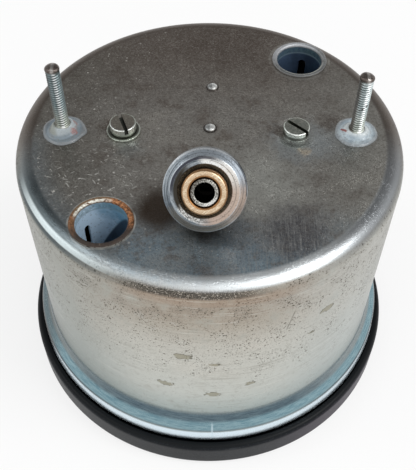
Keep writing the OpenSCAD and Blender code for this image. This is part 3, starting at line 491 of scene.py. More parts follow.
# %% Zinc of the plate
def zinc_plate(f, patch, grain):
    """Colour, roughness and marks of the plate: tarnish, painted light and shade by zones, then
    scratches and flecks.
    """
    cloud, fine, loose = f.noise(0.05, 4), f.noise(4.0, 3, rough=0.7), f.loosened(0.35, 7.0)
    lx, ly, _ = f.split(loose)

    def near(x, y, inner, outer):
        """1 within inner of a place on the plate, and 0 past outer."""
        return f.far((x, y, PLATE_Z), loose).below(inner, outer)

    # A painted brown shadow left of the drive, soft at its edge. It also keeps flecks and scratches
    # out and roughens the plate there.
    drive_shadow = f.far((-13.0, -26.0, PLATE_Z)).below(1, 13) + f.far((-14.0, -33.0, PLATE_Z)).below(1, 12)
    drive_shadow = drive_shadow.above(0.1, 1.5)
    # A painted blue-grey sheen near the rounded edge at the front left.
    rim_sheen = f.round(0, 0).above(44, 53.5) * lx.below(-34, -6) * ly.below(-8, 6)
    plate = f.coats(
        # Bluish towards the front: a painted reflection.
        f.mix(ly.below(-48, -24), (150, 147, 142), (138, 160, 174)),
        (cloud.above(0.46, 0.62) * 0.4, (166, 161, 153)),
        (patch.below(0.35, 0.48) * 0.6, (116, 105, 97)),
        (patch.above(0.54, 0.68) * 0.35, (172, 170, 163)),
        (ly.above(-2, 42) * 0.85, (98, 86, 78)),
        (lx.below(-48, -18) * 0.7, (110, 107, 100)),
        (rim_sheen * 0.6, (134, 148, 156)),
        # Painted light and shade round the drive: lighter to the right, a painted highlight behind
        # and right of the drive, painted shade right of it and bluish painted reflections in front of
        # it.
        (lx.above(16, 48) * 0.4, (164, 164, 158)),
        (near(14, -20, 3, 20) * 0.7, (196, 198, 192)),
        (near(23, -38, 3, 14) * 0.85, (86, 86, 92)),
        (near(7, -39, 2, 10) * 0.5, (104, 114, 124)),
        (near(-1, -46, 2, 12) * 0.45, (112, 136, 152)),
        (drive_shadow * 0.95, (56, 44, 34)),
        (near(3, 45, 3, 24) * 0.4, (88, 74, 66)),
        # Round the right screw and stud: a bluish painted reflection by the screw, painted shadows
        # left of the screw and of the stud, a painted reflection of the screw's side in front of it
        # and a painted highlight by the stud.
        (near(26.5, -3.0, 5, 12) * 0.6, (172, 182, 187)),
        (near(21.0, 1.4, 1.2, 4.0) * 0.8, (72, 60, 50)),
        (near(36.6, 5.0, 1.0, 6.5) * 0.6, (76, 62, 54)),
        (near(27.0, -7.6, 0.4, 2.8) * 0.7, (224, 208, 184)),
        (near(38.0, -4.0, 2, 9) * 0.35, (160, 172, 178)),
        # A painted highlight in front of the left screw, and a painted shadow to its left.
        (near(-24.0, -6.0, 1, 6) * 0.3, (150, 164, 170)),
        (near(-29.6, 2.0, 2.4, 4.8) * 0.6, (74, 58, 46)),
    )
    brushed = f.noise(1.0, 3, stretch=(2.6, 0.16, 1.0), rough=0.65)
    pits = f.noise(2.4, 4, rough=0.85)
    right_front = lx.above(-2, 20) * ly.below(-36, -22)
    left = lx.below(-38, 4)
    rubbed = near(-34, -20, 6, 26)
    marks = sum(f.strokes(*s) for s in ((32, (0.9, 0.2, 1.0), 0.0, 0.10),
                                        (-58, (0.8, 0.22, 1.0), -0.02, 0.09, 4),
                                        (80, (1.1, 0.2, 1.0), 0.0, 0.1, 9)))
    marks = marks * (rubbed * 0.9 + 0.06) * (1 - drive_shadow)
    flecks = f.dots(0.9, -0.02, 0.08, seed=21) * f.noise(0.2, 3).above(0.44, 0.56)
    flecks = flecks + f.dots(0.5, -0.02, 0.06, seed=11)
    rings = abs(f.round(*LAMP_LEFT) - 9.1).below(0.08, 0.34) * 1.2
    rings = rings + abs(f.round(*LAMP_RIGHT) - 9.5).below(0.2, 0.7) * 0.35
    plate = f.coats(
        plate,
        (grain.above(0.46, 0.66) * (0.3 - drive_shadow * 0.25), (178, 175, 167)),
        (grain.below(0.36, 0.50) * 0.4, (94, 86, 78)),
        (pits.above(0.56, 0.68) * (left * 0.12 + 0.14) * (1 - drive_shadow), (206, 203, 196)),
        (pits.below(0.34, 0.46) * 0.4, (80, 72, 66)),
        (fine.above(0.52, 0.66) * (0.25 - drive_shadow * 0.2), (200, 198, 191)),
        (brushed.above(0.44, 0.66) * right_front * 0.5, (170, 170, 168)),
        (marks * 0.75, (226, 225, 219)),
        (flecks * (left * 0.5 + rubbed * 0.35 + 0.15) * (1 - drive_shadow), (230, 228, 221)),
        (f.dots(1.5, 0.1, 0.28, seed=3) * patch.above(0.45, 0.6) * 0.35, (78, 68, 60)),
        (rings * patch.above(0.3, 0.55) * 0.8, (206, 206, 200)),
        # A painted highlight on the tops of the pips.
        (f.z.above(91.25, 91.6) * 0.9, (226, 228, 226)),
    )
    gloss = 0.31 + patch * 0.12 + fine * 0.06 + drive_shadow * 0.12
    return plate, gloss, marks + pits * 0.8


# %% Zinc of the whole sheet
def zinc_sheet():
    """Side and plate in one finish, joined over the rounded edge, with a painted highlight on it in
    front.
    """
    f = Finish("zinc_sheet", Metallic=1.0)
    patch, grain = f.noise(0.16, 4, rough=0.65), f.noise(1.6, 3, rough=0.7)
    wall, wall_gloss, specks = zinc_wall(f, patch, grain)
    plate, plate_gloss, scratches = zinc_plate(f, patch, grain)
    up = f.z.above(89.2, 90.9)
    rounded = f.round(0, 0).above(51.4, 52.7)
    edge = f.z.above(89.2, 90.0) * rounded
    # A painted highlight along the rounded edge, strongest at the front right.
    lit = edge * f.y.below(-34, 8) * (f.x.above(-22, 12) * 0.75 + 0.25)
    far_left = rounded * f.x.below(-44, -16) * f.y.below(-22, -4)
    far_right = rounded * f.x.above(22, 46) * f.y.below(-16, 6)
    speckle = f.noise(3.0, 3, rough=0.75)
    below = f.y.below(-30, -10)
    under = f.z.band(88.4, 89.3, 0.9) * (f.x.band(-14, 4, 16) * 0.8 + 0.12) * below
    warm = f.z.band(85.6, 87.8, 1.4) * f.x.band(-14, 16, 14) * below
    # Painted shade on the pips: a dark ring round each foot and a grey left half.
    pip_ring_shade = sum(abs(f.round(x, y) - PIP_R).below(0.1, 0.42) for x, y in PIPS)
    pip_shade = sum((f.x - x).below(-0.3, 0.1) * f.round(x, y).below(1.5, 1.7) for x, y in PIPS)
    colour = f.coats(
        f.mix(up, wall, plate),
        (lit * 0.95, (230, 235, 237)),
        (f.z.above(87.0, 89.0) * rounded * f.y.above(-24, 4) * 0.9, (94, 85, 78)),
        # At the far left, painted blue-grey shade round a narrow painted highlight; at the right end,
        # painted grey where the highlight fades.
        (f.z.above(87.0, 88.5) * far_left * 0.9, (84, 94, 98)),
        (f.z.band(89.2, 89.9, 0.4) * far_left * f.y.below(-34, -12) * 0.95, (232, 244, 246)),
        (f.z.above(87.5, 90.0) * far_right * 0.8, (110, 113, 117)),
        (edge * speckle.below(0.34, 0.44) * 0.4, (132, 136, 136)),
        (warm * 0.32, (164, 138, 116)),
        (under * speckle.below(0.50, 0.64) * 0.95, (62, 61, 58)),
        (under * speckle.above(0.60, 0.68) * 0.7, (208, 208, 204)),
        (pip_shade * up * 0.75, (128, 130, 130)),
        (pip_ring_shade * up * 0.9, (48, 44, 42)),
    )
    gloss = wall_gloss + up * (plate_gloss - wall_gloss) - lit * 0.08 - far_left * up * 0.1
    dents = (grain * 0.08 + speckle * 0.05) * f.z.above(19, 24) - specks * 0.08
    dents = f.noise(0.07, 2) * 0.6 + dents + scratches * up * 0.05
    return f.set(Base_Color=colour, Roughness=gloss).relief(dents, 0.55, 0.6)


ZINC_SHEET = zinc_sheet()

# %% [markdown]
# ## The can
# The profile runs from the middle of the rear plate over the rounded edge, down the wall, through
# the hollow bend and the shoulder to the mouth, and back up inside the sheet. A Solidify modifier
# could give the sheet its thickness, but the mouth is a fold, so both of its skins are drawn. The
# two pips, the dish round the right screw and the sheet's shallow waves are pressed in. On a grid
# that is only a small lift or drop of its points. The holes are cut last.

# %% The can's section
EDGE_R, EDGE_WIDE, EDGE_HIGH = 52.2, 5.3, 4.5
EDGE_ROWS, WALL_ROWS = 16, 28


def bead(radius, swell):
    """The rolled bead of the mouth: radius + swell sin(90 t), falling from 17.1 to 12.8 high."""
    t = np.linspace(0, 1, 8)
    return np.column_stack([radius + swell * np.sin(np.pi / 2 * t), 17.1 - 4.3 * t])


def can_profile(inset=0.0):
    """Half section from the top of the wall to the mouth: edge arc, wall, hollow bend, shoulder."""
    skin, middle = inset == 0, PLATE_Z - EDGE_HIGH
    return np.vstack([
        arc(EDGE_R, middle, EDGE_WIDE - inset, 90, 0, EDGE_ROWS, high=EDGE_HIGH - inset),
        line((CAN_R - inset, 86), (CAN_R - inset, 25), WALL_ROWS if skin else 4),
        arc(63.5, 24.015, 6 + inset, 180, 235.6, 12),
        arc(58.7, 17, 2.5 - inset, 55.6, 12, 8),
        arc(60.9, 17.45, 0.28, 50, -50, 4) if skin else line((60.2, 17.3), (60.2, 17.0)),
        bead(61.0 - inset, 0.5 if skin else 0.0),
        line((61.2 - inset, 12.2), (61.2 - inset, 5), 3),
    ])


def pressed(x, y):
    """The plate's pressed forms: domes of height sqrt(1 - d^2), a dish and shallow sine waves."""
    lift = 0 * x
    for px, py in PIPS:
        lift = lift + PIP_H * np.sqrt(np.clip(1 - (np.hypot(x - px, y - py) / PIP_R) ** 2, 0, 1))
    dish = 0.5 * step(7.2 - np.hypot(x - SCREW_X, y - ROW_Y), 0, 2.6)
    waves = np.sin(x / 8.3 + 0.7) * np.cos(y / 9.7 - 0.4) + np.sin((x + y) / 14.1)
    return lift - dish + 0.02 * (waves - 2)


# %% Can
radii = np.concatenate([np.linspace(0, 4.6, 17), np.linspace(4.9, 18.2, 24),
                        np.linspace(18.5, 23.2, 17), np.linspace(23.8, 51.8, 44)])
plate_top = np.column_stack([radii, 0 * radii + PLATE_Z])
plate_under = line((51.4, PLATE_Z - SHEET), (0, PLATE_Z - SHEET), 4)
can = revolve([plate_top, can_profile(), can_profile(SHEET)[::-1], plate_under], 320)
plate, _, wall, _ = np.split(can, np.cumsum([len(radii), EDGE_ROWS, WALL_ROWS]))
plate[..., 2] += pressed(plate[..., 0], plate[..., 1]) * step(EDGE_R - radii, 0, 4)[:, None]
turn = np.arctan2(wall[..., 1], wall[..., 0])
sway = 1 - 0.0006 * (1 + np.sin(3 * turn + wall[..., 2] / 17) * np.sin(5 * turn + 1.3))
wall[..., :2] *= sway[..., None]
LAMP_HOLE_R, STUD_HOLE_R, SCREW_HOLE_R, NECK_HOLE_R = 7.9, 2.35, 2.15, 8.15
holes = [rod(*place, LAMP_HOLE_R, 85, 95, 96) for place in (LAMP_LEFT, LAMP_RIGHT)]
holes += [rod(x, y, STUD_HOLE_R, 88, 95) for x, y, _ in STUDS]
holes += [rod(x, y, SCREW_HOLE_R, 88, 95) for x, y, _, _ in SCREWS]
holes += [on_drive(rod(0, 0, NECK_HOLE_R, 12.7, 38.8, 96))]
case_shell = cut(solid("case_shell", [can]), solid("tool", holes))
fit(case_shell, ZINC_SHEET, "case", sharp=30)

# %% [markdown]
# ## The bezel
# A turned ring in black satin lacquer. It holds the glass and is crimped over the can's mouth. Its
# outer edges are rounded, and there the lacquer has worn thin to grey. A Bevel modifier could round
# them, but the arcs are few, so they are drawn in the section. A painted purple sheen lies on the
# ring's right side, and its top is painted darker for a dark reflection. Wear is a mask on height,
# broken up by noise.

# %% Bezel lacquer
def black_lacquer():
    """Near-black paint with a soft gloss, dust in dots, rubbed streaks, a worn lower edge and painted
    sheen and shade.
    """
    f = Finish("black_lacquer", Metallic=0.0, Coat_Roughness=0.28, Specular_IOR_Level=0.14)
    cloud, grain = f.noise(0.09, 4), f.noise(1.4, 4, rough=0.7)
    lx = f.split(f.loosened(0.2, 5.0))[0]
    rub = f.noise(1.0, 3, stretch=(0.12, 0.12, 1.6)).above(0.6, 0.7) * cloud.above(0.5, 0.6)
    base = f.coats(
        f.mix(cloud, (6, 9, 13), (16, 21, 26)),
        # A painted purple sheen on the ring's right side.
        (lx.above(14, 44) * f.z.below(9.5, 11.2) * 0.7, (50, 40, 54)),
        (f.dots(1.8, 0.1, 0.26) * 0.3, (72, 75, 78)),
        (rub * 0.3, (76, 80, 84)),
        # The top painted darker: a painted dark reflection.
        (f.z.above(10.9, 11.3), (8, 12, 15)),
        (f.z.below(0.6, 2.4) * grain.above(0.46, 0.62) * 0.5, (72, 74, 76)),
    )
    f.set(Base_Color=base, Roughness=0.34 + grain * 0.16 + rub * 0.12, Coat_Weight=cloud * 0.08)
    return f.relief(grain, 0.05, 0.5)


BLACK_LACQUER = black_lacquer()

# %% Bezel
BEZEL_R, MOUTH_R = 64.2, 61.4
section = [
    line((51.7, 0), (61, 0), 3), arc(BEZEL_R - 2.2, 2.2, 2.2, -90, 0, 10),
    line((BEZEL_R, 3.2), (BEZEL_R, 9), 4), arc(BEZEL_R - 1.6, 9.9, 1.6, 0, 90, 9),
    line((61.8, 11.5), (MOUTH_R, 11.1)), line((MOUTH_R, 10), (MOUTH_R, 2.0), 3),
    line((60, 2.0), (51.7, 2.0), 3),
    arc(51.7, 1.3, 0.7, 90, 180, 5), arc(51.7, 0.7, 0.7, 180, 270, 5)[:-1],
]
bezel_ring = solid("bezel_ring", [revolve(section, 288)], loop=True)
fit(bezel_ring, BLACK_LACQUER, "bezel")

# %% [markdown]
# ## The drive's collar
# The flexible cable's nut screws on this turned steel collar. Its thread could be a bump in the
# finish, but its crests show against the light, so it is modelled. It is a helix: the radius dips
# in a rounded wave whose phase grows with height and falls by one turn round the axis. The face
# shows the lathe's circles and greasy dirt in the recess. Painted highlights, reflections and
# shadows follow the angle round the axis: bright at the top and upper right, warm at the lower
# right, dark at the lower left and in a gap at the upper right. They need the distance from the
# drive's own axis, which a Mapping node gives.

# %% Turned steel
def turned_steel():
    """Circles and the recess's dirt by the distance r from the drive's axis, painted light and shade
    by the angle round it.
    """
    f = Finish("turned_steel")
    u, v, w, r = f.round_drive()
    circles = f.noise(1.0, 4, at=f.join(u / r * 1.4, v / r * 1.4, r * 2.4), rough=0.75)
    grain, patch = f.noise(2.6, 4, rough=0.75), f.noise(0.3, 3)

    def toward(right, up, low, high):
        """1 on the side that faces right and up: the cosine of the angle to it, along the drive."""
        return ((u * right + v * up) / r + (patch - 0.5) * 0.5).above(low, high)

    face, recess, groove = r.below(8.85, 8.98), r.below(6.85, 7.05), w.below(43.7, 43.9)
    slope = 1 - face
    highlight_grain = grain.above(0.28, 0.46)
    steel = f.coats(
        f.mix(circles.above(0.34, 0.64), (94, 104, 112), (166, 174, 180)),
        # Painted light by the angle round the axis: highlights on the chamfer's top and the face's
        # upper right, a light painted reflection on the right, a warm one at the lower right and a
        # darker one below.
        (toward(0.35, 0.94, 0.25, 0.85) * slope * 0.85, (196, 206, 216)),
        (toward(0.55, 0.84, 0.62, 0.95) * face * highlight_grain * 0.95, (246, 247, 245)),
        (toward(0.95, 0.3, 0.6, 0.95) * face * 0.7, (224, 218, 210)),
        (toward(0.75, -0.66, 0.35, 0.9) * 0.85, (192, 170, 154)),
        (toward(-0.2, -0.98, 0.5, 0.9) * slope * 0.8, (150, 138, 124)),
        # Painted shade in a gap at the rim's upper right and on an arc at the upper left, a painted
        # highlight on the rim's top, a painted shadow of the bush on the face's lower left, and
        # painted glints below it.
        (toward(0.9, 0.42, 0.72, 0.92) * r.above(10.35, 10.6) * 0.9, (40, 44, 50)),
        (toward(-0.6, 0.8, 0.2, 0.7) * r.band(8.3, 8.95, 0.15) * 0.9, (54, 54, 64)),
        (toward(-0.2, 0.98, 0.55, 0.9) * r.above(10.35, 10.6) * 0.9, (240, 244, 248)),
        (toward(-0.93, -0.36, 0.05, 0.6) * r.below(7.8, 8.5) * 0.95, (54, 48, 38)),
        (toward(-0.4, -0.9, 0.8, 0.97) * r.band(7.4, 8.3, 0.3) * grain.above(0.4, 0.55),
         (228, 228, 224)),
        (f.dots(2.0, 0.1, 0.28) * 0.4, (52, 48, 44)),
        (abs(r - 8.0).below(0.03, 0.16) * circles.above(0.4, 0.55) * 0.55, (66, 68, 72)),
        (abs(r - 9.75).below(0.03, 0.18) * circles.below(0.45, 0.6) * 0.45, (74, 78, 84)),
        # Painted highlights on the face's edge and the rim.
        (abs(r - 9.0).below(0.05, 0.2) * circles.above(0.40, 0.56) * 0.55, (214, 222, 228)),
        (r.above(10.55, 10.8) * circles.above(0.40, 0.56) * 0.5, (214, 222, 228)),
        (recess, (72, 62, 48)),
        # The recess is painted lighter on its right: painted light.
        (recess * toward(0.9, 0.4, -0.1, 0.6) * 0.75, (142, 134, 118)),
        (recess * grain.above(0.50, 0.62) * 0.8, (150, 138, 112)),
        (recess * grain.below(0.38, 0.48) * 0.9, (34, 28, 20)),
        (groove * 0.7, (70, 66, 60)),
    )
    f.set(Base_Color=steel, Metallic=1 - recess * 0.8)
    f.set(Roughness=0.27 + patch * 0.1 + recess * 0.35 + groove * 0.12)
    return f.relief(circles * 0.8 + grain * 0.5, 0.07, 0.8)


TURNED_STEEL = turned_steel()

# %% Collar
def thread(radius, depth, pitch, low, high, columns, per_turn=10):
    """A thread's skin: r = radius - depth (0.5 - 0.5 cos(2 pi z / pitch - a))^0.8, faded out."""
    z = np.linspace(low, high, int((high - low) / pitch * per_turn) + 1)[:, None]
    a = circle(columns)
    dip = (0.5 - 0.5 * np.cos(2 * np.pi * ((z / pitch - a / (2 * np.pi)) % 1))) ** 0.8
    r = radius - depth * dip * step(z - low, 0, pitch / 2) * step(high - z, 0, pitch / 2)
    return around(r, a, z)


NECK_S, COLLAR_S, FACE_S = 12.62, 38.8929, 45.8929  # heights along the drive's axis
BORE, TURNS = 5.95, 160
neck = revolve([
    line((8, NECK_S), (8, COLLAR_S), 3), line((8.2, COLLAR_S), (10.15, COLLAR_S), 3),
    line((10.3, COLLAR_S + 0.15), (10.3, COLLAR_S + 0.95)),
    line((10.45, COLLAR_S + 1), (10.85, COLLAR_S + 1)),
], TURNS)
face = revolve([
    line((10.82, FACE_S - 1.92), (9.0, FACE_S - 0.1), 9), line((8.85, FACE_S), (8.05, FACE_S), 3),
    line((7.95, FACE_S - 0.05), (7.05, FACE_S - 0.05), 3),
    line((6.9, FACE_S - 0.15), (6.1, FACE_S - 1.6), 5),
    line((BORE, FACE_S - 1.8), (BORE, NECK_S), 4),
], TURNS)
screwed = thread(10.9, 0.42, 1.0, COLLAR_S + 1.05, FACE_S - 2.02, TURNS)
drive_collar = solid("drive_collar", [on_drive(np.concatenate([neck, screwed, face]))], loop=True)
fit(drive_collar, TURNED_STEEL, "drive_boss", sharp=28)

# %% [markdown]
# ## The bronze bush and the spindle in it
# The bush is sintered bronze, so its end is softly rounded and full of fine pores, paler on its
# face and darker orange in the flare, with painted shade deeper in its bore. The spindle's end is
# a speckled ring, with painted glints and painted shade, round a hole painted black, whose lower
# part is square for the cable's tip. A Boolean could cut the square, but the hole's rows can go
# from round to square by themselves: on a square of half width h the radius at angle a is h over
# the larger of |cos a| and |sin a|.

# %% Bronze and spindle steel
def bronze():
    """Grain and streaks over a pale face, an orange flare and painted shade deeper in the bore, by r
    and w.
    """
    f = Finish("oiled_bronze", Metallic=1.0)
    u, v, w, r = f.round_drive()
    grain = f.noise(2.6, 4, rough=0.75)
    streak = f.noise(1.0, 3, at=f.join(u * 0.5 + v * 0.3, v * 3.0 - u * 2.0, w), rough=0.7)
    face = r.band(4.55, 5.3, 0.3) * w.above(48.3, 48.7)
    base = f.coats(
        f.mix(grain.above(0.35, 0.65), (140, 100, 64), (176, 138, 98)),
        (face * 0.9, (214, 190, 160)),
        (face * streak.above(0.50, 0.62) * 0.7, (244, 230, 204)),
        (face * streak.below(0.34, 0.46) * 0.4, (176, 140, 104)),
        (r.below(4.0, 4.5) * 0.75, (142, 98, 60)),
        (f.dots(2.6, 0.1, 0.27) * 0.5, (88, 60, 38)),
        # Painted shade, darker further into the bore.
        (w.below(46.6, 47.9) * 0.8, (104, 66, 38)),
        (w.below(45.0, 46.6) * 0.8, (46, 34, 24)),
    )
    f.set(Base_Color=base, Roughness=0.28 + grain * 0.16)
    return f.relief(grain * 0.7 + streak * 0.5, 0.06, 0.7)


def spindle_steel():
    """Speckles on the end's ring, painted glints to the lower right, painted shade to the upper left
    and on the edge, and a black-painted bore.
    """
    f = Finish("spindle_steel", Metallic=1.0)
    u, v, w, r = f.round_drive()
    grain = f.noise(3.0, 4, rough=0.8)
    base = f.coats(
        f.mix(grain.above(0.44, 0.58), (62, 57, 50), (214, 213, 206)),
        # Painted shade to the upper left and painted glints to the lower right.
        ((u * -0.8 + v * 0.5).above(0.5, 3.0) * 0.6, (66, 58, 50)),
        ((u * 0.5 - v * 0.9).above(1.6, 3.4) * grain.above(0.36, 0.48) * 0.8, (238, 238, 234)),
        # The bore painted black and the outer edge painted dark: painted shade.
        (r.below(2.6, 2.72) * w.below(48.5, 48.68), (20, 18, 16)),
        (r.above(3.35, 3.55) * 0.7, (58, 48, 38)),
    )
    f.set(Base_Color=base, Roughness=0.26 + grain * 0.2)
    return f.relief(grain, 0.07, 0.7)


BRONZE, SPINDLE_STEEL = bronze(), spindle_steel()

# %% Bush and spindle
BUSH_END = FACE_S + 3
bush = [
    line((5.9, BUSH_END - 16), (5.9, BUSH_END - 1.0), 5), arc(4.9, BUSH_END - 1.0, 1.0, 10, 88, 9),
    line((4.7, BUSH_END), (4.5, BUSH_END - 0.03)), arc(4.4, BUSH_END - 0.6, 0.56, 100, 160, 5),
    line((3.8, BUSH_END - 0.7), (3.66, BUSH_END - 1.2), 3),
    line((3.66, BUSH_END - 2), (3.66, BUSH_END - 16), 3),
]
flared_bush = solid("flared_bush", [on_drive(revolve(bush, 128))], loop=True)
fit(flared_bush, BRONZE, "outer_bush")

SPINDLE_END, SPINDLE_R, BORE_R, SQUARE_R = BUSH_END - 0.2, 3.6, 2.55, 1.6
outside = revolve([
    [(0, 5.37)], line((3.0, 5.37), (3.0, 15.22), 3),
    line((SPINDLE_R, 15.22), (SPINDLE_R, SPINDLE_END - 0.3), 3),
    arc(3.3, SPINDLE_END - 0.3, 0.3, 20, 90, 5), line((3.1, SPINDLE_END), (2.8, SPINDLE_END)),
    line((2.65, SPINDLE_END - 0.08), (BORE_R, SPINDLE_END - 0.25)),
    line((BORE_R, SPINDLE_END - 1), (BORE_R, SPINDLE_END - 13.95), 4),
], 128)
a = circle(128)
square = SQUARE_R / np.maximum(np.abs(np.cos(a)), np.abs(np.sin(a)))
share, depth = np.array([[1, 1, 1, 0], [14.0, 16.0, 22.0, 22.0]])[..., None]
inside = around(share * square, a, SPINDLE_END - depth)
cable_spindle = solid("cable_spindle", [on_drive(np.concatenate([outside, inside]))])
fit(cable_spindle, SPINDLE_STEEL, "input_spindle", body="input_shaft", sharp=30)

# %% [markdown]
# ## The lamp sleeves
# Each sleeve is a thin tube whose upper end is rolled over the plate's hole, and which three narrow
# slots make springy below. Both are lacquered blue inside, painted lighter to the left and low
# down, with a painted shadow at the lower right, and the right one's blue is painted darker for
# the shade inside it. The left rim has rusted, and the right one kept its plating; both rims have
# painted highlights mostly at the back and painted shade at the front. A tube's wall is a loop of
# points, carried round as before. Its slots are cut with flat bars, because a slot with a round end
# doesn't follow the grid's rows.

# %% Sleeve lacquer
def sleeve_lacquer(name, centre, deep, pale, rusty):
    """Blue lacquer inside, bare metal on the rim with rust or tarnish, dirt between them, and painted
    light and shade.
    """
    f = Finish(name)
    x, y = f.x - centre[0], f.y - centre[1]
    r = f.round(*centre)
    cloud, grain = f.noise(0.22, 3), f.noise(1.5, 4, rough=0.7)
    turn = cloud * 0.8 - 0.4

    def toward(right, back, low, high):
        """1 on the side of the rim that faces right and back: the cosine of the angle to it."""
        return ((x * right + y * back) / r + turn).above(low, high)

    bare = f.z.above(90.6, 91.0)
    inner = r.below(7.75, 8.1) * f.z.above(90.9, 91.2)
    # Painted light inside: lighter to the left and low down.
    inside = f.mix((x * -0.06 + cloud + f.z.below(80, 92) * 0.25).above(0.25, 0.95), deep, pale)
    # A painted shadow in the lower right of the inside.
    corner = (x + (84 - f.z) * 0.55).above(3.6, 4.4) * y.above(-2, 1)
    base = f.coats(
        inside,
        (corner * 0.92, (34, 52, 70)),
        (f.z.band(88.9, 90.6, 0.5) * grain.above(0.36, 0.55) * 0.5, (84, 110, 112)),
        (f.z.band(88.3, 88.7, 0.2) * 0.5, (120, 140, 150)),
        (f.dots(1.1, 0.1, 0.3) * 0.3, (58, 74, 86)),
    )
    if rusty:
        rust = f.mix(grain.above(0.42, 0.6), (104, 66, 38), (178, 124, 84))
        metal = f.coats(
            rust,
            (toward(-0.9, -0.2, 0.3, 0.8) * 0.6, (112, 84, 60)),
            # Painted shade on the rim's front.
            (toward(0.1, -1.0, 0.1, 0.6) * 0.95, (50, 45, 42)),
            (toward(0.1, -1.0, 0.3, 0.7) * r.above(8.74, 8.82) * grain.above(0.4, 0.5) * 0.8,
             (150, 148, 142)),
            # A painted highlight on the rim's inner edge at the back left.
            (toward(-0.6, 0.8, 0.5, 0.9) * inner * grain.above(0.34, 0.56) * 0.9,
             (228, 232, 222)),
            (toward(-0.5, 0.86, 0.55, 0.9) * (1 - inner) * 0.8, (118, 100, 76)),
            (grain.below(0.34, 0.44) * 0.6, (52, 40, 30)),
            (grain.above(0.66, 0.72) * 0.6, (214, 206, 190)),
        )
    else:
        metal = f.coats(
            f.mix(grain.above(0.38, 0.62), (128, 128, 126), (150, 152, 154)),
            # A painted highlight at the back left, painted shade at the front, a painted highlight on
            # the inner edge at the front and painted shade at the rim's outer foot.
            (toward(-0.45, 0.9, 0.0, 0.8) * 0.7, (186, 188, 192)),
            (toward(0.1, -1.0, 0.1, 0.7) * 0.7, (90, 92, 92)),
            (toward(0.2, -1.0, 0.3, 0.8) * inner * 0.7, (196, 198, 190)),
            (r.above(8.55, 8.8) * 0.4, (112, 108, 104)),
        )
    base = f.mix(bare, base, metal)
    f.set(Base_Color=base, Metallic=bare * (0.55 if rusty else 0.9), Roughness=0.42 + grain * 0.2)
    return f.relief(grain, 0.1, 0.7)


LEFT_LACQUER = sleeve_lacquer("left_sleeve_lacquer", LAMP_LEFT, (104, 146, 172), (196, 218, 236),
                              rusty=True)
# The right sleeve's blues are painted darker: painted shade inside it.
RIGHT_LACQUER = sleeve_lacquer("right_sleeve_lacquer", LAMP_RIGHT, (34, 48, 66), (64, 82, 106),
                               rusty=False)

# %% Sleeves
SLEEVE_LOW, SLEEVE_IN, SLEEVE_OUT = 71.0, 7.15, 7.85


def sleeve(name, centre, slot_turn, slot_top, half_width):
    """A rolled-over tube with three slots, each cut by a flat bar with a round upper end."""
    wall = [
        line((SLEEVE_IN, SLEEVE_LOW), (SLEEVE_IN, 90.7), 12), arc(8.05, 90.7, 0.9, 172, 96, 7),
        line((8.15, 91.66), (8.3, 91.6)), arc(8.35, 91.1, 0.48, 84, 0, 6),
        line((8.85, 90.98), (SLEEVE_OUT, 90.98), 3),
        line((SLEEVE_OUT, 90), (SLEEVE_OUT, SLEEVE_LOW), 4),
    ]
    tube = solid(name, [revolve(wall, 144) + (*centre, 0)], loop=True)
    round_z = slot_top - half_width
    outline = np.vstack([
        line((SLEEVE_LOW - 1, -half_width), (round_z, -half_width)),
        arc(round_z, 0, half_width, -80, 80, 9),
        line((round_z, half_width), (SLEEVE_LOW - 1, half_width)),
    ])
    hoop = np.stack([0 * outline[:, 0], outline[:, 1], outline[:, 0]], axis=1)
    middle = hoop.mean(0) + 0 * hoop
    bar = np.stack([middle, hoop, hoop + (3, 0, 0), middle + (3, 0, 0)]) + (5.8, 0, 0)
    tools = [bar @ rotation(z=slot_turn + 120 * k).T + (*centre, 0) for k in range(3)]
    return cut(tube, solid("tool", tools))


lamp_tube_left = sleeve("lamp_tube_left", LAMP_LEFT, 138, 83.5, 0.95)
fit(lamp_tube_left, LEFT_LACQUER, "lamp_sleeve_left")
lamp_tube_right = sleeve("lamp_tube_right", LAMP_RIGHT, 74, 85.7, 1.2)
fit(lamp_tube_right, RIGHT_LACQUER, "lamp_sleeve_right")

# %% [markdown]
# ## The mounting studs
# Two zinc-plated studs with a rolled thread stand through the plate. Their helix is the collar's,
# finer. The grooves are darker than the crests. A finish can't tell a groove by its place alone,
# so the depth of the thread goes with the mesh as an attribute, and the finish reads it. Each stud
# has a painted highlight down its middle and painted shade along its left edge. The sheared tips
# are rough and dark brown, with a painted highlight.

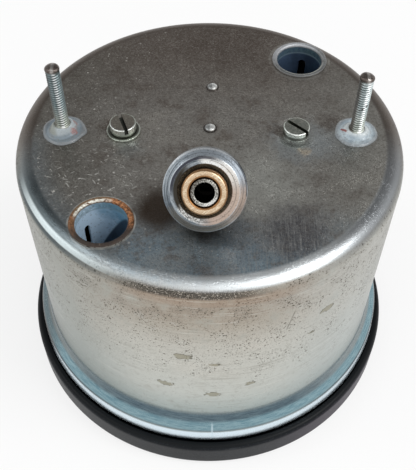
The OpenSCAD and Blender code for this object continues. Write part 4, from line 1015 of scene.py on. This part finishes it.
# %% Stud plating
def stud_plating():
    """Dark grooves, a painted highlight and painted shade down each stud, a darker left stud and
    brown tips.
    """
    f = Finish("bright_zinc", Metallic=1.0)
    groove = f.node("ShaderNodeAttribute", {"attribute_name": "groove"}, out="Fac")
    tip = f.node("ShaderNodeAttribute", {"attribute_name": "tip"}, out="Fac")
    grain, cloud = f.noise(2.4, 4, rough=0.7), f.noise(0.3, 3)
    left = f.x.below(-1, 1)
    across = f.x + left * (2 * STUD_X) - STUD_X
    kink = abs(f.z - 101.6 - across * 0.85).below(0.1, 0.4) * (1 - left) * across.above(-1.2, -0.6)
    base = f.coats(
        f.mix(cloud.above(0.35, 0.65), (164, 176, 177), (206, 214, 214)),
        (left * 0.85, (98, 111, 113)),
        (f.z.below(93.5, 103.0) * 0.35, (196, 194, 170)),
        (groove.above(0.2, 1.0) * 0.7, (64, 72, 74)),
        # Painted shade along each stud's left edge, and a painted highlight down its middle.
        (across.below(-1.7, -0.7) * (0.85 - left * 0.35), (66, 58, 52)),
        (abs(across - 0.5).below(0.15, 0.75) * groove.below(0.2, 0.8) * 0.7, (250, 252, 252)),
        (kink * 0.85, (48, 42, 38)),
        (tip, (96, 88, 84)),
        # A painted highlight on each tip.
        (tip * abs(across - 0.2).below(0.1, 0.7) * 0.8, (176, 172, 168)),
        (tip * f.noise(0.9, 3).above(0.46, 0.62) * 0.5, (136, 128, 122)),
        (tip * grain.below(0.38, 0.46) * 0.6, (48, 40, 36)),
    )
    f.set(Base_Color=base, Roughness=0.34 + grain * 0.12 + groove * 0.12 - tip * 0.04)
    return f.relief(grain, 0.05, 0.5)


STUD_PLATING = stud_plating()

# %% Studs
STUD_R, STUD_COLUMNS, TIP_H = 2.0, 64, 0.95
THREAD_LOW, THREAD_DEPTH, THREAD_PITCH = (94.05, 92.9), 0.4, 0.82


def stud(place, thread_low, hump):
    """Flat head inside, shank through the plate, rolled thread, and a swollen, humped tip."""
    x, y, top = place
    dome, t = top - TIP_H, np.linspace(0, np.pi / 2, 9)
    low = revolve([
        [(0, 88.4)], line((4.4, 88.4), (4.5, 88.5)), line((4.5, 89.9), (4.4, 90.0)),
        line((2.3, 90.0), (2.3, thread_low - 0.1), 3), [(2.05, thread_low - 0.05)],
    ], STUD_COLUMNS)
    high = revolve([
        line((1.98, dome - 0.6), (2.08, dome - 0.25), 3), [(2.08, dome)],
        np.column_stack([STUD_R * np.cos(t), dome + 0.12 + 0.83 * np.sin(t)]),
    ], STUD_COLUMNS)
    lift = (high[..., 2] - dome).clip(0) / TIP_H
    high[..., 0] += hump * lift
    high[..., 2] -= 0.3 * lift * np.abs(high[..., 0] - hump * lift) / 2
    end = dome - 0.65
    skin = thread(STUD_R, THREAD_DEPTH, THREAD_PITCH, thread_low, end, STUD_COLUMNS, 12)
    return np.concatenate([low, skin, high]) + (x, y, 0)


def note(mesh, name, values):
    """Stores one number at each point of a mesh, for its finish to read."""
    mesh.attributes.new(name, "FLOAT", "POINT").data.foreach_set("value", values.astype(np.float32))


def points_of(mesh):
    """All points of a mesh, in millimetres."""
    co = np.empty(len(mesh.vertices) * 3, np.float32)
    mesh.vertices.foreach_get("co", co)
    return co.reshape(-1, 3) / MM


pair = [stud(*s) for s in zip(STUDS, THREAD_LOW, (0.15, -0.35))]
threaded_studs = solid("threaded_studs", pair)
x, y, z = points_of(threaded_studs.data).T
low, top = [np.where(x < 0, *two) for two in (THREAD_LOW, (STUDS[0][2], STUDS[1][2]))]
radius = np.hypot(np.abs(x) - STUD_X, y - ROW_Y)
groove = np.where((z > low) & (z < top - 1.6), (STUD_R - radius) / THREAD_DEPTH, 0)
note(threaded_studs.data, "groove", groove)
note(threaded_studs.data, "tip", step(z, top - 1.5, top - 1.1))
fit(threaded_studs, STUD_PLATING, "mounting_studs", sharp=80)
print("thread", THREAD_DEPTH, "mm deep, on", int((groove > 0.5).sum()), "points in the grooves")

# %% [markdown]
# ## The lacquer discs
# Round each stud lies a disc of pale sealing lacquer, brushed on thick: a flat skirt with a wavy
# edge, and a mound that climbs the shank. The left skirt runs out in a point to the right. It could
# be sculpted, but as a height over radius and angle the waves and the mound are one formula. A few
# strokes of red marking paint and brown dirt lie next to the shank.

# %% Disc lacquer
def disc_lacquer():
    """Milky layers by height and distance from the shank, with red strokes and brown dirt."""
    f = Finish("sealing_lacquer")
    grain, cloud = f.noise(1.8, 4, rough=0.7), f.noise(0.35, 3)
    loose = f.loosened(0.8, 2.4)
    r = f.round(STUD_X, ROW_Y, mirrored=True)
    left = f.x.below(-1, 1)
    red = f.far((-40.6, 2.2, 92.2), loose).below(0.8, 1.7)
    red = red + f.far((-40.2, -0.4, 92.0), loose).below(0.7, 1.6)
    stroke = abs((f.x - 39.6) * 0.75 + (f.y - 0.5) * 0.66).below(0.15, 0.4)
    stroke = stroke * f.far((39.6, 0.5, 91.7)).below(1.0, 1.5)
    dirt = abs(f.round(STUD_X, 0.2, mirrored=True) - 4.1).below(0.1, 0.45) * grain.above(0.42, 0.6)
    base = f.coats(
        f.mix(cloud.above(0.35, 0.65), (140, 154, 164), (174, 186, 192)),
        (left * 0.9, (106, 118, 126)),
        (f.z.above(91.8, 92.8) * (0.75 - left * 0.35), (206, 212, 212)),
        (left * (f.x + STUD_X).below(-2.4, -0.8) * f.z.above(91.8, 92.6) * 0.6, (118, 120, 104)),
        (f.dots(1.5, 0.1, 0.3) * 0.25, (96, 100, 100)),
        (dirt * 0.45, (96, 90, 82)),
        (r.below(2.35, 2.5) * grain.above(0.3, 0.5) * 0.7, (96, 88, 72)),
        (r.above(4.4, 6.3) * grain.above(0.2, 0.55) * 0.9, (112, 114, 115)),
        (red * grain.above(0.36, 0.50) * 0.8, (146, 84, 74)),
        (stroke * 0.9, (126, 44, 30)),
    )
    f.set(Base_Color=base, Roughness=0.32 + grain * 0.18, Coat_Weight=0.1 + cloud * 0.2)
    return f.relief(grain * 0.5 + cloud, 0.16, 0.7)


DISC_LACQUER = disc_lacquer()

# %% Discs
DISC_IN, DISC_OUT = 2.33, 6.25


def disc(place, mound, lobe_turn, lobe, seed):
    """Height over (r, a): 91.5 + mound s^1.4 + waves, s falling from the shank; edge by sines."""
    a, t = circle(112), np.linspace(0, 1, 30)[:, None]
    edge = DISC_OUT + 0.12 * np.sin(3 * a + seed) + 0.06 * np.sin(7 * a + 2 * seed)
    turn = np.angle(np.exp(1j * (a - np.radians(lobe_turn))))
    edge = edge + lobe * np.exp(-(turn / 0.24) ** 2)
    r = DISC_IN + (edge - DISC_IN) * t
    slope = step(4.9 + 0.4 * np.sin(2 * a + seed) - r, 0, 2.5)
    waves = 0.05 * np.sin(4 * a + 9 * t + seed)
    height = 91.5 + mound * slope ** 1.4 + waves - 0.4 * step(t, 0.8, 1.0)
    skin, under = around(r, a, height), around(r[[-1, 0]], a, 90.9)
    return np.concatenate([skin, under]) + (*place[:2], 0)


discs = [disc(STUDS[0], 2.45, -8, 0.7, 0.4), disc(STUDS[1], 1.3, 200, 0.25, 2.1)]
lacquer_discs = solid("lacquer_discs", discs, loop=True)
fit(lacquer_discs, DISC_LACQUER, "stud_discs", sharp=50)

# %% [markdown]
# ## The two slotted screws and the washer
# Cheese-head screws hold the movement. Their passivated zinc is greenish yellow on the sides and
# worn to brown grey on top. The left one sits on a washer, the right one in a dish of the plate.
# The heads are turned like the rest. A turned profile can't hold a slot, so one long bar a head
# cuts it, as a saw does.

# %% Passivated zinc
HEAD_R, HEAD_H, SHANK_LOW = 3.9, 2.9, 82.0
SLOT_W, SLOT_FLOOR = 1.1, 1.25


def in_slot(f, x, y, seat, turn):
    """1 inside one screw's slot: near its middle line, between its floor and the top's edge."""
    t = math.radians(turn)
    across = (f.y - y) * math.cos(t) - (f.x - x) * math.sin(t)
    here = abs(across).below(SLOT_W / 2 + 0.01, SLOT_W / 2 + 0.06) * abs(f.x - x).below(5, 6)
    return here * f.z.band(seat + SLOT_FLOOR - 0.02, seat + HEAD_H - 0.3, 0.1)


def passivated_zinc():
    """Greenish sides, a worn top, dark slots, painted highlights and a warm reflection, and painted
    shade under the heads.
    """
    f = Finish("passivated_zinc", Metallic=1.0)
    grain, cloud = f.noise(2.2, 4, rough=0.75), f.noise(0.4, 3)
    r = f.round(SCREW_X, ROW_Y, mirrored=True)
    left = f.x.below(-1, 1)
    top = f.z.above(92.9, 93.1) * r.below(3.45, 3.65)
    edge = abs(r - 3.72).below(0.06, 0.26) * f.y.below(-1.5, 1.5)
    slots = sum(in_slot(f, *screw) for screw in SCREWS)
    base = f.coats(
        f.mix(cloud.above(0.35, 0.65), (196, 206, 196), (232, 236, 228)),
        (grain.below(0.38, 0.50) * 0.75, (104, 112, 98)),
        (left * 0.45, (124, 132, 120)),
        # A painted warm reflection on the right head's front.
        ((f.x - 28.0).above(-1, 1) * f.y.below(-2, 0) * (1 - left) * 0.5, (226, 206, 180)),
        # Painted shade low down on the heads and the washer.
        (f.z.below(91.3, 91.8) * 0.35, (120, 126, 120)),
        (top * 0.85, f.mix(left, (110, 112, 106), (116, 108, 100))),
        (top * f.noise(1.1, 3).above(0.5, 0.7) * 0.5, (172, 168, 158)),
        # A painted highlight on each head's front edge.
        (edge * 0.85, (244, 247, 244)),
        (f.dots(1.7, 0.1, 0.28) * 0.4, (74, 72, 60)),
        # Painted shade on the washer round the head, and a painted highlight on its outer edge.
        (r.band(4.0, 4.5, 0.15) * left * f.z.below(91.7, 91.8) * 0.8, (62, 60, 50)),
        (abs(r - 4.85).below(0.08, 0.2) * grain.above(0.40, 0.52) * 0.8, (206, 210, 200)),
        # A painted shadow under the heads.
        (f.z.band(91.0, 91.9, 0.25) * r.below(4.0, 4.05) * 0.8, (54, 54, 46)),
        (slots * 0.85, f.mix(left, (66, 70, 60), (38, 36, 30))),
    )
    f.set(Base_Color=base, Roughness=0.27 + grain * 0.14 + top * 0.12)
    return f.relief(grain, 0.06, 0.6)


PASSIVATED = passivated_zinc()

# %% Screws and washer
def cheese_head(x, y, seat, _):
    """Shank, flat underside, straight side, rounded edge and a barely domed top."""
    return revolve([
        [(0, SHANK_LOW)], line((1.9, SHANK_LOW), (2.0, SHANK_LOW + 0.2)),
        line((2.0, seat), (HEAD_R - 0.05, seat)),
        line((HEAD_R, seat + 0.1), (HEAD_R, seat + HEAD_H - 0.45), 3),
        arc(HEAD_R - 0.35, seat + HEAD_H - 0.4, 0.35, 10, 80, 6),
        line((HEAD_R - 0.55, seat + HEAD_H - 0.04), (0, seat + HEAD_H), 4),
    ], 96) + (x, y, 0)


def slot_bar(x, y, seat, turn):
    """A long bar with closed ends, as wide as the slot, from the slot's floor up past the head."""
    w = SLOT_W / 2
    loop = np.array([(-w, SLOT_FLOOR), (w, SLOT_FLOOR), (w, 4.0), (-w, 4.0)])
    ends = np.stack([np.column_stack([0 * loop[:, 0] + e, loop]) for e in (-5.0, 5.0)])
    middle = ends.mean(1, keepdims=True) + 0 * ends
    return np.concatenate([middle[:1], ends, middle[1:]]) @ rotation(z=turn).T + (x, y, seat)


heads, bars = [cheese_head(*s) for s in SCREWS], [slot_bar(*s) for s in SCREWS]
slotted_screws = cut(solid("slotted_screws", heads), solid("tool", bars))
fit(slotted_screws, PASSIVATED, "case_screws")
ring_profile = [line((2.15, 90.95), (4.9, 90.95), 3), arc(4.85, 91.15, 0.15, -60, 0, 3),
                arc(4.85, 91.45, 0.15, 0, 90, 4), line((4.6, 91.6), (2.15, 91.6), 3)]
washer = revolve(ring_profile, 96) + (-SCREW_X, ROW_Y, 0)
plain_washer = solid("plain_washer", [washer], loop=True)
fit(plain_washer, PASSIVATED, "screw_washer")

# %% [markdown]
# ## The numbers on the dial
# The dial's marks come with the frame. The numbers 0 to 8 could be painted in the finish, but a
# text object made into thin mesh gives clean edges. Each stands beside its main mark. The dial
# faces down, so each number is turned half round its own upright line.

# %% Dial print
def matte_print(name, colour, shade):
    """Matte paint: a colour and its shade, mixed by fine grain and slow clouds."""
    f = Finish(name)
    grain, cloud = f.noise(3.0, 3, rough=0.7), f.noise(0.08, 3)
    f.set(Base_Color=f.mix(cloud * 0.6 + grain * 0.4, shade, colour), Roughness=0.55 + grain * 0.25)
    return f.relief(grain, 0.02, 0.5)


DIAL_WHITE = matte_print("dial_print", (240, 240, 232), (218, 218, 208))

# %% Numbers
DIAL_SPAN, NUMBER_R, NUMBER_Z = 260.0, 34.5, 13.9


def number(k):
    """Points and faces of one number: turned to face down, centred, and moved to its mark."""
    curve = bpy.data.curves.new("digit", "FONT")
    curve.body, curve.size, curve.extrude = str(k), 10.5 * MM, 0.05 * MM
    curve.align_x, curve.align_y = "CENTER", "CENTER"
    letter = bpy.data.objects.new("digit", curve)
    SCENE.collection.objects.link(letter)
    shaped = letter.evaluated_get(bpy.context.evaluated_depsgraph_get())
    mesh = bpy.data.meshes.new_from_object(shaped)
    phi = math.radians(DIAL_SPAN * k / 8 - DIAL_SPAN / 2)
    co = points_of(mesh) * (-1, 1, -1)
    co[:, :2] -= (co[:, :2].max(0) + co[:, :2].min(0)) / 2
    co += (-NUMBER_R * math.sin(phi), NUMBER_R * math.cos(phi), NUMBER_Z)
    bpy.data.objects.remove(letter)
    return co, [np.array(q.vertices) for q in mesh.polygons]


points, faces, count = [], [], 0
for k in range(9):
    co, polygons = number(k)
    points.append(co)
    faces += [(q + count).tolist() for q in polygons]
    count += len(co)
mesh = bpy.data.meshes.new("dial_numbers")
mesh.from_pydata(np.concatenate(points) * MM, [], faces)
dial_numbers = bpy.data.objects.new("dial_numbers", mesh)
SCENE.collection.objects.link(dial_numbers)
close(mesh)
fit(dial_numbers, DIAL_WHITE, None, sharp=20)

# %% [markdown]
# ## Finishes for the pieces that stay as the frame has them
# Inside the can the shapes are those of the frame, and their finishes follow how each is made:
# lathe circles on turned brass and steel, blue temper on the hairspring, pores in sintered bronze,
# a frosted light ring, pressed cork, felt and rough zinc castings. Two functions make nearly all of
# them, because tool marks and grain only differ in direction, size and colour.

# %% Metals inside
def inner_metal(name, colour, shade, stretch=(0.3, 2.2, 2.2), rough=0.3, stain=None, depth=0.03):
    """Metal with tool marks: noise drawn out along one direction, over a slow change of tone."""
    f = Finish(name, Metallic=1.0)
    marks, cloud = f.noise(1.0, 3, stretch=stretch, rough=0.7), f.noise(0.12, 3)
    base = f.mix(marks.above(0.3, 0.7), shade, colour)
    base = f.mix(cloud.above(0.52, 0.72) * 0.5, base, stain or shade)
    f.set(Base_Color=base, Roughness=rough - 0.06 + marks * 0.2)
    return f.relief(marks, depth, 0.5)


def grainy(name, colour, shade, scale=1.2, rough=0.7, depth=0.15, metallic=0.0, dots=0.3, **other):
    """A grainy surface: noise for the lumps and small darker pores."""
    f = Finish(name, Metallic=metallic, **other)
    lumps, cloud = f.noise(scale, 4, rough=0.7), f.noise(scale / 12, 3)
    base = f.coats(
        f.mix(lumps.above(0.3, 0.7), shade, colour),
        (f.dots(scale, 0.1, 0.35) * dots, shade),
        (cloud.above(0.5, 0.7) * 0.4, shade),
    )
    f.set(Base_Color=base, Roughness=rough - 0.08 + lumps * 0.18)
    return f.relief(lumps, depth, 0.6)


carry(inner_metal("turned_brass", (214, 178, 104), (176, 136, 70)),
      "dial_posts", "front_plate", "hairspring_collet", "hairspring_regulator", "magnet_carrier",
      "driven_bevel_gear", "input_bevel_gear")
carry(inner_metal("ground_steel", (196, 198, 200), (150, 152, 156), (2.2, 2.2, 0.25), 0.22),
      "frame_pillars", "pointer_staff", "magnet_spindle")
carry(inner_metal("screw_steel", (190, 192, 192), (140, 142, 144), (1.2, 1.2, 1.2), 0.28),
      "dial_screws", "stop_pins", "frame_screws", "housing_screws")
carry(inner_metal("plated_steel", (168, 172, 172), (126, 130, 132), (0.2, 2.0, 2.0), 0.36,
                  (150, 146, 120)), "middle_plate", "flux_keeper")
carry(inner_metal("spun_aluminium", (212, 214, 216), (176, 178, 182), (0.25, 0.25, 3.0), 0.3),
      "drag_cup")
carry(inner_metal("blued_spring", (62, 84, 140), (44, 52, 88), (0.6, 0.6, 2.0), 0.25,
                  (84, 70, 110)), "hairspring")
carry(grainy("sintered_bronze", (198, 152, 92), (138, 96, 54), 2.2, 0.42, 0.05, 1.0),
      "inner_bush", "magnet_bush", "thrust_washer")
carry(grainy("magnet_iron", (86, 86, 90), (52, 52, 56), 1.6, 0.5, 0.08, 0.6), "magnet")
carry(grainy("zinc_casting", (150, 154, 158), (108, 112, 116), 0.9, 0.5, 0.12, 0.9), "gear_housing")

# %% Plastics, cork, felt, rubber and paint
carry(grainy("oily_felt", (126, 100, 66), (72, 54, 34), 2.6, 0.95, 0.3), "oil_felt")
carry(grainy("pressed_cork", (176, 132, 88), (112, 74, 44), 0.9, 0.9, 0.2, dots=0.7),
      "housing_gasket")
carry(grainy("gasket_rubber", (50, 50, 50), (30, 30, 31), 1.8, 0.75, 0.06), "glass_gasket")
carry(grainy("dial_black_paint", (34, 34, 35), (22, 22, 23), 3.2, 0.72, 0.02), "dial")
carry(grainy("cap_plastic", (30, 30, 31), (18, 18, 19), 2.4, 0.45, 0.04), "pointer_cap")
carry(grainy("jewel", (170, 30, 44), (110, 12, 24), 0.8, 0.16, 0.01, dots=0.1, Coat_Weight=0.6),
      "staff_bush")
carry(grainy("frosted_plastic", (228, 228, 218), (204, 204, 192), 1.4, 0.42, 0.05, dots=0.1,
             Subsurface_Weight=0.15, Subsurface_Radius=(0.002, 0.002, 0.002)), "light_ring")
carry(matte_print("pointer_paint", (238, 238, 230), (214, 212, 202)), "pointer")
carry(DIAL_WHITE, "dial_marks")

# %% Glass
def clear_glass():
    """Clear glass with a little dust in its colour and smears in its gloss."""
    f = Finish("clear_glass", Transmission_Weight=1.0, IOR=1.5, Metallic=0.0)
    dust, smear = f.noise(2.5, 4, rough=0.7), f.noise(0.05, 3, stretch=(1, 3, 1))
    colour = f.mix(dust.above(0.6, 0.75) * 0.3, (244, 250, 248), (214, 220, 216))
    return f.set(Base_Color=colour, Roughness=0.01 + smear.above(0.5, 0.75) * 0.08)


carry(clear_glass(), "glass")
print("finished:", sorted(m.name for m in bpy.data.materials if m.users))

# %% [markdown]
# ## The studio
# A pale floor that runs far out, a white sky that dims high up behind the can, and two soft lamps,
# one at each side. An image of a real studio would light it too, but this needs no file. The wall
# mirrors the floor, the plate mirrors the dim part of the sky, and the rounded edge mirrors the
# bright part and the lamps in a light line. The camera itself sees white all round.

# %% Floor
def floor_finish():
    """White paper that glows by itself for the camera and in reflections, and keeps a shadow."""
    f = Finish("floor_paper", Base_Color=(0.92, 0.92, 0.92, 1), Roughness=0.9)
    rays = f.node("ShaderNodeLightPath").socket.node.outputs
    seen = sum(Signal(f, rays[f"Is {kind} Ray"]) for kind in ("Camera", "Glossy", "Transmission"))
    light = f.node("ShaderNodeEmission", values={"Color": (1, 1, 1, 1), "Strength": 1.0})
    paper = Signal(f, f.shader.outputs[0])
    mixed = f.node("ShaderNodeMixShader", values={0: seen * 0.74, 1: paper, 2: light})
    f.tree.links.new(mixed.socket, f.tree.nodes["Material Output"].inputs["Surface"])
    return f.material


FLOOR_Z, FLOOR_R = -0.05, 3000
floor = solid("floor", [revolve([line((0, FLOOR_Z), (FLOOR_R, FLOOR_Z), 8)], 64)])
floor.data.materials.append(floor_finish())
floor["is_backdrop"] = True

# %% Sky
class Sky(Finish):
    """The world's shader, with the direction of each ray in place of a position."""

    def __init__(self, world):
        world.use_nodes = True
        self.tree, self.shader = world.node_tree, world.node_tree.nodes["Background"]
        self.shader.inputs["Color"].default_value = (1, 1, 1, 1)
        self.here = self.node("ShaderNodeTexCoord", out="Generated")
        self.x, self.y, self.z = self.split(self.here)


SCENE.world = bpy.data.worlds.new("studio")
sky = Sky(SCENE.world)
high_behind = sky.vector("DOT_PRODUCT", sky.here, (0.0, 0.77, 0.64), "Value").above(0.45, 0.78)
dim = high_behind * sky.z.above(0.28, 0.5)
eye = sky.node("ShaderNodeLightPath", out="Is Camera Ray")
sky.set(Strength=(1 - eye) * (1 - dim * 0.72) + eye)

# %% Lamps
CAN_MIDDLE = (0, 0, 0.06)


def lamp(name, azimuth, elevation, far, size, power, colour=(1, 1, 1)):
    """A square soft lamp aimed at the can: azimuth from the front towards the right, in degrees."""
    a, e = math.radians(azimuth), math.radians(elevation)
    data = bpy.data.lights.new(name, "AREA")
    data.size, data.energy, data.color = size, power, colour
    obj = bpy.data.objects.new(name, data)
    away = type(obj.location)((math.sin(a) * math.cos(e), -math.cos(a) * math.cos(e), math.sin(e)))
    obj.location = away * far + type(away)(CAN_MIDDLE)
    obj.rotation_mode = "QUATERNION"
    obj.rotation_quaternion = away.to_track_quat("Z", "Y")
    SCENE.collection.objects.link(obj)
    print(f"lamp {name}: {power} W, {size * 1000:.0f} mm wide, {far * 1000:.0f} mm away")


lamp("right", 70, 55, 0.9, 0.34, 2.6)
lamp("left", -92, 52, 0.9, 0.30, 0.9, (0.94, 0.98, 1.0))

# %% [markdown]
# ## The camera
# It looks down on the rear plate at 51 degrees, from the front. It could be aimed by hand, but its
# place and turn were worked out so that the can's and the bezel's outlines fall where the
# photograph has them. Its matrix holds its three directions and its place, in metres.

# %% Camera
data = bpy.data.cameras.new("camera")
data.lens, data.sensor_width = 57.48, 36.0
data.clip_start, data.clip_end = 0.01, 20.0
camera = bpy.data.objects.new("camera", data)
Matrix = type(camera.matrix_world)
camera.matrix_world = Matrix((
    (0.99997474, -0.00710819, 0.0, -0.334 * MM),
    (0.00554457, 0.78000617, -0.62574726, -162.516 * MM),
    (0.00444793, 0.62573145, 0.78002588, 245.449 * MM),
    (0, 0, 0, 1),
))
SCENE.collection.objects.link(camera)
SCENE.camera = camera
SCENE.view_settings.view_transform = "Standard"

print("camera at", [round(v / MM, 1) for v in camera.matrix_world.translation], "mm")

# %% [markdown]
# ## Sizes of the box
# The box round all shown pieces is measured again, and its growth over the frame's box is printed.

# %% Sizes and finish
bpy.context.view_layer.update()
LOOKS_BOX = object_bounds()
growth = np.array(LOOKS_BOX) - np.array(CAD_BOX)
print("box grows by", (growth * 1000).round(2).tolist(), "mm")
